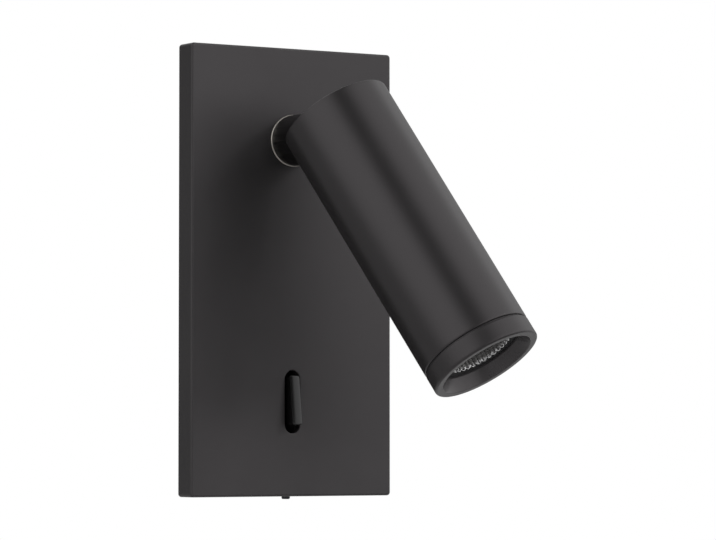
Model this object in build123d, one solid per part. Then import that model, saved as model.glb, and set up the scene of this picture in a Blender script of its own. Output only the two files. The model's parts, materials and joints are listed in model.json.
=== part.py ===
"""Pivoting spotlight wall light: a flat rectangular plate on the wall, a short swivel stub near its
top, a slim cylindrical lamp head that tilts on the stub, and a narrow rocker switch below.

Millimetres. X is to the right and -Y is out of the wall, towards the room. Z is up. The origin is the
centre of the four wall screws, on the wall's surface. The head is built hanging straight down, flat to
the wall, about its tilt pivot, and is then tilted and swivelled to the pose that it is stored in.
"""

import os
from math import asin, cos, degrees, radians, sin, sqrt

from build123d import *

# ---------------------------------------------------------------- driving dimensions
# Front plate: a shallow tray that covers the wall bracket
PLATE_W = 83.0
PLATE_H = 160.0
PLATE_T = 9.5  # from the wall to the front face
PLATE_FACE = 2.5  # thickness of the front face
PLATE_WALL = 2.2  # thickness of the four side walls
PLATE_CORNER_R = 1.2
PLATE_EDGE_R = 0.8
PLATE_BACK_EDGE_R = 0.5

# Wall bracket: folded sheet steel behind the plate
BRACKET_T = 1.5
BRACKET_GAP = 1.0  # all round, to the inside of the plate's walls
BRACKET_CORNER_R = 3.0
FIX_INSET_X = 8.5  # from the plate's side to the wall screws
FIX_INSET_Z = 13.0
FIX_HOLE_R = 2.25
SWIVEL_WINDOW_R = 15.5
SWITCH_WINDOW_W = 26.0
SWITCH_WINDOW_H = 46.0
HOOK_W = 12.0  # hooks inside the plate's top wall, behind the bracket's joggled tongues
HOOK_DROP = 4.0
HOOK_T = 2.0
HOOK_X = 24.0
HOOK_GAP = 0.3
TAB_W = 12.0  # folded tab that the set screw bears on
TAB_GAP = 0.8  # from the tab to the back of the plate's face

# Set screw in the bottom edge of the plate
SET_SCREW_R = 1.5
SET_SCREW_L = 6.0
SET_SCREW_PROUD = 1.0
SET_SCREW_SOCKET = 1.5  # across flats
SET_BOSS_H = 2.4
SET_BOSS_W = 9.0

# Places of the swivel and of the switch, from the plate's ends
SWIVEL_FROM_TOP = 33.1
SWITCH_FROM_BOTTOM = 33.3

# Swivel: bush, washer, threaded hollow spigot and its stack of washers
STUB_R = 8.75
SPIGOT_R = 5.0
SPIGOT_TAIL = 5.0  # behind the wall's surface
WIRE_BORE_R = 2.75
WIRE_EXIT_WALL = 2.5  # from the friction washers' edge to the wires' way out
FLAT_DEPTH = 0.8  # flat along the spigot that keys the stop washer
BUSH_WALL = 1.0
BUSH_FLANGE_R = 8.0
BUSH_FLANGE_T = 0.8
BOSS_WALL = 4.0
BOSS_H = 3.0
WASHER_R = 8.7  # the pale ring that shows between the plate and the stub
WASHER_T = 1.0
STOP_WASHER_R = 9.0
STOP_WASHER_T = 1.2
STOP_TAB_REACH = 13.2
STOP_TAB_W = 2.4
STOP_PIN_R = 1.0
STOP_PIN_AT = 12.0
STOP_PIN_EMBED = 1.5
LOCK_WASHER_R = 8.0
LOCK_WASHER_T = 1.2
LOCK_WASHER_SPLIT = 1.4
LOCK_WASHER_TURN = 25.0  # degrees, from level to its split
SWIVEL_NUT_AF = 14.0
SWIVEL_NUT_T = 3.0

# Tilt pivot
PIVOT_OUT = 36.8  # from the plate's front face to the tilt axis
TONGUE_T = 8.0
TONGUE_W = 12.0
STUB_TO_HEAD = 0.5  # between the stub's end and the head's corner as it swings past
STUB_CHAMFER = 0.6
PIVOT_PIN_R = 2.5
PIVOT_THREAD_R = 2.0
PIVOT_HEAD_R = 4.2
PIVOT_HEAD_T = 3.0
PIVOT_SOCKET = 3.0
PIVOT_SEAT_X = 12.0
PIVOT_SHOULDER_X = -9.0
PIVOT_THREAD_L = 5.0
PIVOT_NUT_AF = 7.0
PIVOT_NUT_T = 3.2
PIVOT_NUT_GAP = 1.5  # from the shoulder to the nut
DISC_SPRING_T = 0.6
FRICTION_WASHER_R = 6.0
FRICTION_WASHER_T = 0.5

# Lamp head; lengths along it are measured from the tilt pivot towards the lens
HEAD_R = 20.0
HEAD_REAR = 8.6  # pivot to the rear end
HEAD_FRONT = 98.1  # pivot to the front of the bezel
SHELL_WALL = 1.6
SHELL_REAR_WALL = 3.0
SHELL_EDGE_R = 0.4
BEZEL_L = 7.0
GROOVE_W = 0.5  # shadow line between shell and bezel
GROOVE_DEPTH = 0.7
BEZEL_EDGE_R = 0.8
BEZEL_RIM = 2.8  # width of the flat rim with its rounded edge
BEZEL_CONE_W = 2.0  # how far the inner cone narrows on each side
BEZEL_CONE_L = 4.4
BEZEL_SPIGOT_L = 7.0
BEZEL_SPIGOT_WALL = 1.8
BEZEL_SHELF = 1.0  # thickness of the shelf at the throat
BLOCK_L = 21.5  # pivot block
CORE_L = 37.0  # heat sink
CORE_R = 8.5
FIN_INSET = 0.9  # from the shell's fit to the fins' edge
FIN_T = 2.0
FIN_PITCH = 5.0
FLANGE_T = 4.0  # at the light source
ROD_FLANGE_T = 6.0  # at the tie rods
WIRE_HOLE_R = 3.0
WIRE_HOLE_INSET = 5.8  # from the shell's fit to the middle of the wire hole
ROD_R = 2.5  # tie rods between pivot block and heat sink
ROD_THREAD_R = 1.5
ROD_THREAD_L = 5.0
ROD_INSET = 3.5  # from the shell's fit to the middle of a rod
ROD_ANGLE = 32.6  # degrees, from the pivot's direction towards the room

# Light source and optics
PAD_T = 0.3
BOARD = 15.8
BOARD_T = 1.4
EMITTER_R = 4.3
EMITTER_T = 0.5
HOLDER_INSET = 0.7
HOLDER_T = 4.4
HOLDER_SCREW_INSET = 4.6
HOLDER_SCREW_R = 1.25
HOLDER_SCREW_HEAD_R = 2.3
HOLDER_SCREW_HEAD_T = 1.4
HOLDER_SCREW_L = 6.0
REFLECTOR_MOUTH_INSET = 3.2  # from the bezel's throat to the reflector's mouth
REFLECTOR_THROAT_R = 4.8
REFLECTOR_L = 20.0
REFLECTOR_MOUTH_DEPTH = 5.1  # from the bezel's front
REFLECTOR_WALL = 0.9
REFLECTOR_LIP = 0.4
REFLECTOR_FLUTES = 32
REFLECTOR_ROWS = 6
REFLECTOR_FLANGE_W = 1.35  # beyond the lip
REFLECTOR_FLANGE_T = 1.0
REFLECTOR_FLANGE_SET = 1.2  # behind the mouth
RING_T = 3.0

# Rocker switch
SLOT_W = 6.2
SLOT_H = 23.1
SLOT_BREAK = 0.3
ROCKER_W = 4.4
ROCKER_H = 18.0
ROCKER_PROUD = 2.2  # face of the level rocker in front of the plate
ROCKER_PIVOT_IN = 5.0  # pivot pin behind the plate's front face
ROCKER_THROW = 7.0  # degrees, each way from level
ROCKER_CORNER_R = 0.8
ROCKER_EDGE_R = 0.45
ROCKER_CROWN = 0.5  # height of the arc across its face
ROCKER_SKIRT = 4.1  # depth of the rocker's ends, behind its crown
ROCKER_HUB_R = 2.6
ROCKER_HUB_W = 5.4
ROCKER_PIN_R = 1.0
LEG_W = 3.6
LEG_L = 4.6  # behind the pivot pin
SWITCH_WALL = 1.5
SWITCH_CAVITY_W = 6.2
SWITCH_CAVITY_H = 23.6
SWITCH_CAVITY_D = 10.9  # behind the plate's front face
SWITCH_CONTACTS_D = 5.6  # closed contact chamber behind the cavity
SWITCH_EAR_Z = 17.0
SWITCH_EAR_W = 8.0
SWITCH_EAR_T = 1.5
SWITCH_BOSS_R = 3.0
SWITCH_BOSS_H = 3.0
SWITCH_SCREW_R = 1.25
SWITCH_SCREW_HEAD_R = 2.3
SWITCH_SCREW_HEAD_T = 1.6
SWITCH_SCREW_BITE = 4.4
TERMINAL_W = 4.0
TERMINAL_T = 0.8
TERMINAL_TAIL = 7.0
TERMINAL_ROOT = 3.0  # depth that each terminal is moulded into the floor
TERMINAL_PITCH = 6.0
TERMINAL_HOLE_R = 0.6

# Driver and mains terminals, behind the bracket in the wall's recess
DRIVER_W = 46.0
DRIVER_H = 26.0
DRIVER_D = 21.0
DRIVER_GAP = 4.4  # below the bracket's swivel window
DRIVER_CORNER_R = 2.5
DRIVER_EAR_L = 8.0
DRIVER_EAR_T = 2.0
DRIVER_EAR_H = 10.0
DRIVER_SCREW_R = 1.5
DRIVER_SCREW_HEAD_R = 2.8
DRIVER_SCREW_HEAD_T = 1.5
BLOCK_POLES = 3
POLE_PITCH = 9.0
POLE_W = 8.0
POLE_H = 14.0
POLE_D = 12.0
TERMINAL_BLOCK_X = -6.0
TERMINAL_BLOCK_GAP = 3.0
WIRE_ENTRY_R = 1.9
CLAMP_SCREW_R = 1.6
CLAMP_SCREW_SUNK = 1.0  # below the terminal block's top
SCREW_SLOT_W = 0.6
EARTH_FROM_BLOCK = 9.0  # from the terminal block's end to the earth screw
EARTH_SCREW_R = 2.0
EARTH_CUP_T = 1.0
EARTH_HEAD_T = 2.4
EARTH_SLOT_W = 1.0

# Clearances
RUNNING = 0.05  # radial, shaft in bore
PLAY = 0.05  # axial, between faces that turn on each other
SLIP = 0.1  # radial, pieces that slide together and stay put
THREAD = 0.05  # radial, screw in its tapped hole
TONGUE_CLEAR = 0.4  # tongue to the ends of the slot
SHELL_SLOT_CLEAR = 0.7  # tongue to the sides of the shell's slot
OVERCUT = 1.0  # how far a cut runs past the face that it opens
EMBED = 0.5  # how far a boss starts inside the wall that it stands on
THROUGH = 9.0  # reach of a cut that goes right through the bracket, each way

# Pose that the light is stored in
REST_SWIVEL = 17.45  # degrees from straight down, towards +X
REST_TILT = 29.8  # degrees out from the wall

# ---------------------------------------------------------------- places worked out from them
FRONT_Y = -PLATE_T
INSIDE_Y = FRONT_Y + PLATE_FACE
INSIDE_W = PLATE_W - 2 * PLATE_WALL
INSIDE_H = PLATE_H - 2 * PLATE_WALL
SWIVEL_Z = PLATE_H / 2 - SWIVEL_FROM_TOP
SWITCH_Z = -PLATE_H / 2 + SWITCH_FROM_BOTTOM
FIX_X = PLATE_W - 2 * FIX_INSET_X
FIX_Z = PLATE_H - 2 * FIX_INSET_Z
BRACKET_W = INSIDE_W - 2 * BRACKET_GAP
BRACKET_TOP = INSIDE_H / 2 - HOOK_DROP - BRACKET_GAP
BRACKET_BOTTOM = -PLATE_H / 2 - SET_SCREW_PROUD + SET_SCREW_L
BOSS_Y = INSIDE_Y + BOSS_H
BUSH_R = SPIGOT_R + RUNNING + BUSH_WALL
STOP_Y = BOSS_Y + BUSH_FLANGE_T + PLAY
LOCK_Y = STOP_Y + STOP_WASHER_T
NUT_Y = LOCK_Y + LOCK_WASHER_T
STUB_Y = FRONT_Y - WASHER_T - PLAY
PIVOT_Y = FRONT_Y - PIVOT_OUT
HEAD_SWING_R = sqrt(HEAD_R**2 + HEAD_REAR**2)
STUB_END_Y = PIVOT_Y + HEAD_SWING_R + STUB_TO_HEAD
SLOT_REACH = TONGUE_W / 2 + TONGUE_CLEAR
CHEEK_X = TONGUE_T / 2 + PLAY + FRICTION_WASHER_T
BORE_R = HEAD_R - SHELL_WALL
CORE_FIT_R = BORE_R - SLIP
FIN_R = CORE_FIT_R - FIN_INSET
WIRE_HOLE_AT = CORE_FIT_R - WIRE_HOLE_INSET
ROD_AT = CORE_FIT_R - ROD_INSET
ROD_X = ROD_AT * cos(radians(ROD_ANGLE))
ROD_Y = -ROD_AT * sin(radians(ROD_ANGLE))
HOLDER_R = CORE_FIT_R - HOLDER_INSET
HOLDER_SCREW_X = HOLDER_R - HOLDER_SCREW_INSET
BEZEL_MOUTH_R = HEAD_R - BEZEL_RIM
BEZEL_THROAT_R = BEZEL_MOUTH_R - BEZEL_CONE_W
REFLECTOR_MOUTH_R = BEZEL_THROAT_R - REFLECTOR_MOUTH_INSET
REFLECTOR_FLANGE_R = REFLECTOR_MOUTH_R + REFLECTOR_LIP + REFLECTOR_FLANGE_W
BEZEL_AT = HEAD_FRONT - BEZEL_L
SHELL_END = BEZEL_AT - GROOVE_W
BLOCK_TOP = HEAD_REAR - SHELL_REAR_WALL
BLOCK_END = BLOCK_L - BLOCK_TOP
MOUTH_AT = HEAD_FRONT - REFLECTOR_MOUTH_DEPTH
THROAT_AT = MOUTH_AT - REFLECTOR_L
BOARD_AT = THROAT_AT - EMITTER_T - SLIP
PAD_AT = BOARD_AT - BOARD_T
CORE_AT = PAD_AT - PAD_T
CORE_TOP = CORE_AT - CORE_L
SHELF_AT = HEAD_FRONT - BEZEL_CONE_L - BEZEL_SHELF
BEZEL_BORE_R = CORE_FIT_R - BEZEL_SPIGOT_WALL
ROCKER_PIVOT_Y = FRONT_Y + ROCKER_PIVOT_IN
SWITCH_FLOOR_Y = FRONT_Y + SWITCH_CAVITY_D
SWITCH_BACK_Y = SWITCH_FLOOR_Y + SWITCH_CONTACTS_D
DRIVER_TOP = SWIVEL_Z - SWIVEL_WINDOW_R - DRIVER_GAP
DRIVER_Z = DRIVER_TOP - DRIVER_H / 2
DRIVER_BOTTOM = DRIVER_TOP - DRIVER_H
DRIVER_SCREW_X = DRIVER_W / 2 + DRIVER_EAR_L / 2
TERMINAL_BLOCK_Z = DRIVER_BOTTOM - TERMINAL_BLOCK_GAP - POLE_H / 2
EARTH_X = TERMINAL_BLOCK_X + (BLOCK_POLES - 1) / 2 * POLE_PITCH + POLE_W / 2 + EARTH_FROM_BLOCK
EARTH_Z = TERMINAL_BLOCK_Z
STOP_ANGLE = degrees(asin((STOP_TAB_W / 2 + STOP_PIN_R + SLIP) / STOP_PIN_AT))


# ---------------------------------------------------------------- helpers
def turned(points):
    """A solid of revolution about Z from its (radius, height) outline."""
    outline = Polyline(*[(r, 0, z) for r, z in points], close=True)
    return revolve(make_face(outline), Axis.Z)


def rod_y(radius, y0, y1, x=0.0, z=0.0):
    """A cylinder along Y, from y0 to y1."""
    return Pos(x, (y0 + y1) / 2, z) * Rot(90, 0, 0) * Cylinder(radius, abs(y1 - y0))


def rod_x(radius, x0, x1, y=0.0, z=0.0):
    """A cylinder along X, from x0 to x1."""
    return Pos((x0 + x1) / 2, y, z) * Rot(0, 90, 0) * Cylinder(radius, abs(x1 - x0))


def rod_s(radius, s0, s1, x=0.0, y=0.0):
    """A cylinder along the head, between two distances from the pivot towards the lens."""
    return Pos(x, y, -(s0 + s1) / 2) * Cylinder(radius, abs(s1 - s0))


def block(x0, x1, y0, y1, z0, z1):
    """A box between two corners."""
    box = Box(abs(x1 - x0), abs(y1 - y0), abs(z1 - z0))
    return Pos((x0 + x1) / 2, (y0 + y1) / 2, (z0 + z1) / 2) * box


def hexagon_y(across_flats, y0, y1, x=0.0, z=0.0):
    """A hexagonal prism along Y."""
    face = RegularPolygon(across_flats / 2, 6, major_radius=False)
    return Pos(x, max(y0, y1), z) * Rot(90, 0, 0) * extrude(face, abs(y1 - y0))


def hexagon_x(across_flats, x0, x1):
    """A hexagonal prism along X."""
    face = RegularPolygon(across_flats / 2, 6, major_radius=False)
    return Pos(min(x0, x1), 0, 0) * Rot(0, 90, 0) * extrude(face, abs(x1 - x0))


def hexagon_z(across_flats, z0, z1, x=0.0, y=0.0):
    """A hexagonal prism along Z."""
    face = RegularPolygon(across_flats / 2, 6, major_radius=False)
    return Pos(x, y, min(z0, z1)) * extrude(face, abs(z1 - z0))


def slot_y(width, height, y0, y1, x=0.0, z=0.0):
    """An upright round-ended slot along Y."""
    face = SlotOverall(height, width, rotation=90)
    return Pos(x, max(y0, y1), z) * Rot(90, 0, 0) * extrude(face, abs(y1 - y0))


def on_swivel(shape):
    """Turns what is carried by the stub to its stored swivel angle."""
    return shape.rotate(Axis((0, 0, SWIVEL_Z), (0, -1, 0)), REST_SWIVEL)


def on_head(shape):
    """Takes a piece of the head from its own frame, about the pivot, to its stored pose."""
    tilted = shape.rotate(Axis((0, 0, 0), (-1, 0, 0)), REST_TILT)
    return on_swivel(Pos(0, PIVOT_Y, SWIVEL_Z) * tilted)


# ---------------------------------------------------------------- wall side
def front_plate():
    """The tray: rounded outside, hollow behind, with its bosses, hooks, slot and holes."""
    outside = Pos(0, FRONT_Y / 2, 0) * Box(PLATE_W, PLATE_T, PLATE_H)
    outside = fillet(outside.edges().filter_by(Axis.Y), PLATE_CORNER_R)
    outside = fillet(outside.faces().sort_by(Axis.Y)[0].edges(), PLATE_EDGE_R)
    outside = fillet(outside.faces().sort_by(Axis.Y)[-1].edges(), PLATE_BACK_EDGE_R)
    inside_x, inside_z = INSIDE_W / 2, INSIDE_H / 2
    tray = outside - block(-inside_x, inside_x, INSIDE_Y, PLATE_T, -inside_z, inside_z)
    tray += rod_y(BUSH_R + BOSS_WALL, INSIDE_Y - EMBED, BOSS_Y, z=SWIVEL_Z)
    floor_z = -PLATE_H / 2
    boss_top = floor_z + PLATE_WALL + SET_BOSS_H
    tray += block(-SET_BOSS_W / 2, SET_BOSS_W / 2, INSIDE_Y - EMBED, -BRACKET_T, floor_z + OVERCUT, boss_top)
    for side in (-1, 1):
        x = side * HOOK_X
        top = inside_z + PLATE_WALL / 2
        tray += block(x - HOOK_W / 2, x + HOOK_W / 2, -HOOK_T, -HOOK_GAP, inside_z - HOOK_DROP, top)
        z = SWITCH_Z + side * SWITCH_EAR_Z
        tray += rod_y(SWITCH_BOSS_R, INSIDE_Y - EMBED, INSIDE_Y + SWITCH_BOSS_H, z=z)
        boss_end = INSIDE_Y + SWITCH_BOSS_H
        tray -= rod_y(SWITCH_SCREW_R + THREAD, boss_end - SWITCH_SCREW_BITE - SLIP, boss_end, z=z)
    tray -= rod_y(BUSH_R + SLIP / 5, FRONT_Y - OVERCUT, BOSS_Y + OVERCUT, z=SWIVEL_Z)
    tray -= rod_y(STOP_PIN_R + THREAD, INSIDE_Y - STOP_PIN_EMBED, INSIDE_Y, z=SWIVEL_Z + STOP_PIN_AT)
    tray -= slot_y(SLOT_W, SLOT_H, FRONT_Y - OVERCUT, INSIDE_Y + OVERCUT, z=SWITCH_Z)
    hole = Pos(0, FRONT_Y / 2, floor_z) * Cylinder(SET_SCREW_R + THREAD, 4 * (PLATE_WALL + SET_BOSS_H))
    tray -= hole
    rim = tray.faces().sort_by(Axis.Y)[0].edges().filter_by(GeomType.BSPLINE, reverse=True)
    slot_edges = [e for e in rim if abs(e.center().Z - SWITCH_Z) < SLOT_H and abs(e.center().X) < SLOT_W]
    return chamfer(slot_edges, SLOT_BREAK)


def wall_bracket():
    """The folded bracket: flat on the wall, windows for what stands behind it, tongues and tab."""
    half_w = BRACKET_W / 2
    flat = block(-half_w, half_w, -BRACKET_T, 0, BRACKET_BOTTOM, BRACKET_TOP)
    flat = fillet(flat.edges().filter_by(Axis.Y), BRACKET_CORNER_R)
    tongue_y = -HOOK_T - HOOK_GAP
    for side in (-1, 1):
        x = side * HOOK_X
        x0, x1 = x - HOOK_W / 2, x + HOOK_W / 2
        top = INSIDE_H / 2 - HOOK_GAP
        flat += block(x0, x1, tongue_y - BRACKET_T, tongue_y, BRACKET_TOP - 3 * BRACKET_T, top)
        flat += block(x0, x1, tongue_y, -BRACKET_T, BRACKET_TOP - 3 * BRACKET_T, BRACKET_TOP - 2 * BRACKET_T)
    tab_y = INSIDE_Y + TAB_GAP
    flat += block(-TAB_W / 2, TAB_W / 2, tab_y, 0, BRACKET_BOTTOM, BRACKET_BOTTOM + BRACKET_T)
    for side in (-1, 1):
        for end in (-1, 1):
            flat -= rod_y(FIX_HOLE_R, -THROUGH, THROUGH, side * FIX_X / 2, end * FIX_Z / 2)
        flat -= rod_y(DRIVER_SCREW_R + THREAD, -THROUGH, THROUGH, side * DRIVER_SCREW_X, DRIVER_Z)
    flat -= rod_y(SWIVEL_WINDOW_R, -THROUGH, THROUGH, z=SWIVEL_Z)
    window = Pos(0, 0, SWITCH_Z) * Box(SWITCH_WINDOW_W, THROUGH, SWITCH_WINDOW_H)
    flat -= fillet(window.edges().filter_by(Axis.Y), BRACKET_CORNER_R)
    flat -= rod_y(EARTH_SCREW_R + THREAD, -THROUGH, THROUGH, EARTH_X, EARTH_Z)
    return flat


def set_screw():
    """Headless screw in the bottom edge, a little proud of it, that bears on the bracket's tab."""
    low = -PLATE_H / 2 - SET_SCREW_PROUD
    screw = Pos(0, FRONT_Y / 2, low + SET_SCREW_L / 2) * Cylinder(SET_SCREW_R, SET_SCREW_L)
    screw = chamfer(screw.edges().filter_by(GeomType.CIRCLE), SET_SCREW_R / 5)
    return screw - hexagon_z(SET_SCREW_SOCKET, low - OVERCUT, low + SET_SCREW_L / 3, y=FRONT_Y / 2)


def driver_case():
    """Moulded driver case behind the bracket, with an ear and a screw hole at each side."""
    case = block(-DRIVER_W / 2, DRIVER_W / 2, 0, DRIVER_D, DRIVER_BOTTOM, DRIVER_TOP)
    case = fillet(case.edges().filter_by(Axis.Y), DRIVER_CORNER_R)
    case = fillet(case.faces().sort_by(Axis.Y)[-1].edges(), DRIVER_CORNER_R / 2)
    reach = DRIVER_W / 2 + DRIVER_EAR_L
    low, high = DRIVER_Z - DRIVER_EAR_H / 2, DRIVER_Z + DRIVER_EAR_H / 2
    ears = block(-reach, reach, 0, DRIVER_EAR_T, low, high)
    case += fillet(ears.edges().filter_by(Axis.Y), DRIVER_CORNER_R)
    for side in (-1, 1):
        x = side * DRIVER_SCREW_X
        case -= rod_y(DRIVER_SCREW_R + THREAD, -OVERCUT, DRIVER_EAR_T + OVERCUT, x, DRIVER_Z)
    return case


def pan_screw(radius, head_r, head_t, length, socket):
    """Pan-head screw along Y: head in front of y = 0, shank behind it."""
    head = chamfer(rod_y(head_r, -head_t, 0).edges().sort_by(Axis.Y)[0], head_t / 3)
    return head + rod_y(radius, 0, length) - hexagon_y(socket, -head_t, -head_t / 3)


def driver_screws():
    """Two pan-head screws from the front of the bracket into the driver's ears."""
    length = BRACKET_T + DRIVER_EAR_T
    screw = pan_screw(DRIVER_SCREW_R, DRIVER_SCREW_HEAD_R, DRIVER_SCREW_HEAD_T, length, DRIVER_SCREW_R)
    return [Pos(side * DRIVER_SCREW_X, -BRACKET_T, DRIVER_Z) * screw for side in (-1, 1)]


def pole_xs():
    """The middle of each pole of the mains terminal block."""
    return [TERMINAL_BLOCK_X + (i - (BLOCK_POLES - 1) / 2) * POLE_PITCH for i in range(BLOCK_POLES)]


def terminal_block():
    """Three-pole screw terminal strip behind the bracket, with a wire entry through each pole."""
    z0, z1 = TERMINAL_BLOCK_Z - POLE_H / 2, TERMINAL_BLOCK_Z + POLE_H / 2
    xs = pole_xs()
    strip = block(xs[0] - POLE_W / 2, xs[-1] + POLE_W / 2, 0, POLE_D / 2, z0 + POLE_H / 4, z1 - POLE_H / 4)
    for x in xs:
        pole = block(x - POLE_W / 2, x + POLE_W / 2, 0, POLE_D, z0, z1)
        strip += fillet(pole.edges().filter_by(Axis.Z).group_by(Axis.Y)[-1], POLE_W / 5)
    for x in xs:
        strip -= Pos(x, POLE_D / 2, TERMINAL_BLOCK_Z) * Cylinder(WIRE_ENTRY_R, POLE_H + 2 * OVERCUT)
        for end in (-1, 1):
            z = TERMINAL_BLOCK_Z + end * POLE_H / 4
            strip -= rod_y(CLAMP_SCREW_R + SLIP, POLE_D / 2, POLE_D + OVERCUT, x, z)
    return strip


def terminal_screws():
    """The clamp screws, two to a pole, each with its slot."""
    top, half = POLE_D - CLAMP_SCREW_SUNK, SCREW_SLOT_W / 2
    screw = rod_y(CLAMP_SCREW_R, POLE_D / 2 + WIRE_ENTRY_R / 2, top)
    screw -= block(-CLAMP_SCREW_R, CLAMP_SCREW_R, top - SCREW_SLOT_W, POLE_D, -half, half)
    ends = (-POLE_H / 4, POLE_H / 4)
    return [Pos(x, 0, TERMINAL_BLOCK_Z + end) * screw for x in pole_xs() for end in ends]


def earth_screw():
    """Earth screw with its cup washer, through the bracket from behind."""
    cup_r, half, top = 2 * EARTH_SCREW_R, EARTH_SLOT_W / 2, EARTH_CUP_T + EARTH_HEAD_T
    screw = rod_y(EARTH_SCREW_R, -BRACKET_T, top)
    screw += rod_y(cup_r, 0, EARTH_CUP_T) + rod_y(0.9 * cup_r, EARTH_CUP_T, top)
    screw -= block(-cup_r, cup_r, top - EARTH_SLOT_W, top + OVERCUT, -half, half)
    return Pos(EARTH_X, 0, EARTH_Z) * screw


def swivel_bush():
    """Flanged plain bush in the plate; the stub's spigot turns in it."""
    bush = rod_y(BUSH_R, FRONT_Y, BOSS_Y) + rod_y(BUSH_FLANGE_R, BOSS_Y, BOSS_Y + BUSH_FLANGE_T)
    bush -= rod_y(SPIGOT_R + RUNNING, FRONT_Y - OVERCUT, BOSS_Y + 2 * OVERCUT)
    return Pos(0, 0, SWIVEL_Z) * bush


def swivel_washer():
    """The pale ring between the plate and the stub."""
    ring = rod_y(WASHER_R, FRONT_Y - WASHER_T, FRONT_Y)
    ring -= rod_y(SPIGOT_R + SLIP, FRONT_Y - 2 * WASHER_T, FRONT_Y + OVERCUT)
    return Pos(0, 0, SWIVEL_Z) * ring


def stop_pin():
    """Pin in the plate's back that ends the swivel's travel, straight above the spigot."""
    pin = rod_y(STOP_PIN_R, INSIDE_Y - STOP_PIN_EMBED, LOCK_Y)
    return Pos(0, 0, SWIVEL_Z + STOP_PIN_AT) * pin


# ---------------------------------------------------------------- rocker switch
def switch_housing():
    """Open-fronted switch body behind the slot, with two screwed ears."""
    half_w = SWITCH_CAVITY_W / 2 + SWITCH_WALL
    half_h = SWITCH_CAVITY_H / 2 + SWITCH_WALL
    body = block(-half_w, half_w, INSIDE_Y, SWITCH_BACK_Y, -half_h, half_h)
    body = fillet(body.edges().filter_by(Axis.Y), SWITCH_WALL / 2)
    ear_y = INSIDE_Y + SWITCH_BOSS_H
    ear = block(-SWITCH_EAR_W / 2, SWITCH_EAR_W / 2, ear_y, ear_y + SWITCH_EAR_T, -SWITCH_EAR_Z, SWITCH_EAR_Z)
    for side in (-1, 1):
        ear += rod_y(SWITCH_EAR_W / 2, ear_y, ear_y + SWITCH_EAR_T, z=side * SWITCH_EAR_Z)
    body += ear
    cavity_w, cavity_h = SWITCH_CAVITY_W / 2, SWITCH_CAVITY_H / 2
    body -= block(-cavity_w, cavity_w, INSIDE_Y - OVERCUT, SWITCH_FLOOR_Y, -cavity_h, cavity_h)
    for side in (-1, 1):
        body -= rod_y(SWITCH_SCREW_R + SLIP, ear_y - OVERCUT, ear_y + THROUGH, z=side * SWITCH_EAR_Z)
    body -= rod_x(ROCKER_PIN_R + SLIP / 5, -half_w - OVERCUT, half_w + OVERCUT, y=ROCKER_PIVOT_Y)
    for z in terminal_zs():
        w, t = TERMINAL_W / 2, TERMINAL_T / 2
        body -= block(-w, w, SWITCH_BACK_Y - TERMINAL_ROOT, SWITCH_BACK_Y + OVERCUT, z - t, z + t)
    return Pos(0, 0, SWITCH_Z) * body


def terminal_zs():
    """Heights of the two terminals about the switch's middle."""
    return (-TERMINAL_PITCH / 2, TERMINAL_PITCH / 2)


def switch_terminals():
    """Two solder blades moulded into the switch's back."""
    blades = []
    half, end = TERMINAL_W / 2, SWITCH_BACK_Y + TERMINAL_TAIL
    for z in terminal_zs():
        low, high = z - TERMINAL_T / 2, z + TERMINAL_T / 2
        blade = block(-half, half, SWITCH_BACK_Y - TERMINAL_ROOT, end, low, high)
        blade = fillet(blade.edges().filter_by(Axis.Z).group_by(Axis.Y)[-1], TERMINAL_W / 4)
        blade -= Pos(0, end - TERMINAL_W / 2, z) * Cylinder(TERMINAL_HOLE_R, 2 * TERMINAL_T)
        blades.append(Pos(0, 0, SWITCH_Z) * blade)
    return blades


def switch_screws():
    """Two screws from behind, through the switch's ears into the plate's bosses."""
    ear_back = INSIDE_Y + SWITCH_BOSS_H + SWITCH_EAR_T
    length = SWITCH_EAR_T + SWITCH_SCREW_BITE
    screw = pan_screw(SWITCH_SCREW_R, SWITCH_SCREW_HEAD_R, SWITCH_SCREW_HEAD_T, length, SWITCH_SCREW_R)
    screw = Rot(0, 0, 180) * screw
    return [Pos(0, ear_back, SWITCH_Z + side * SWITCH_EAR_Z) * screw for side in (-1, 1)]


def rocker_pin():
    """The rocker's hinge pin, held in the switch's side walls."""
    half = SWITCH_CAVITY_W / 2 + SWITCH_WALL
    return Pos(0, 0, SWITCH_Z) * rod_x(ROCKER_PIN_R, -half, half, y=ROCKER_PIVOT_Y)


def on_rocker(shape):
    """Tips a piece of the rocker, built level about its pin, to its stored side: foot out, head in."""
    tipped = shape.rotate(Axis((0, 0, 0), (1, 0, 0)), -ROCKER_THROW)
    return Pos(0, ROCKER_PIVOT_Y, SWITCH_Z) * tipped


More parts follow.
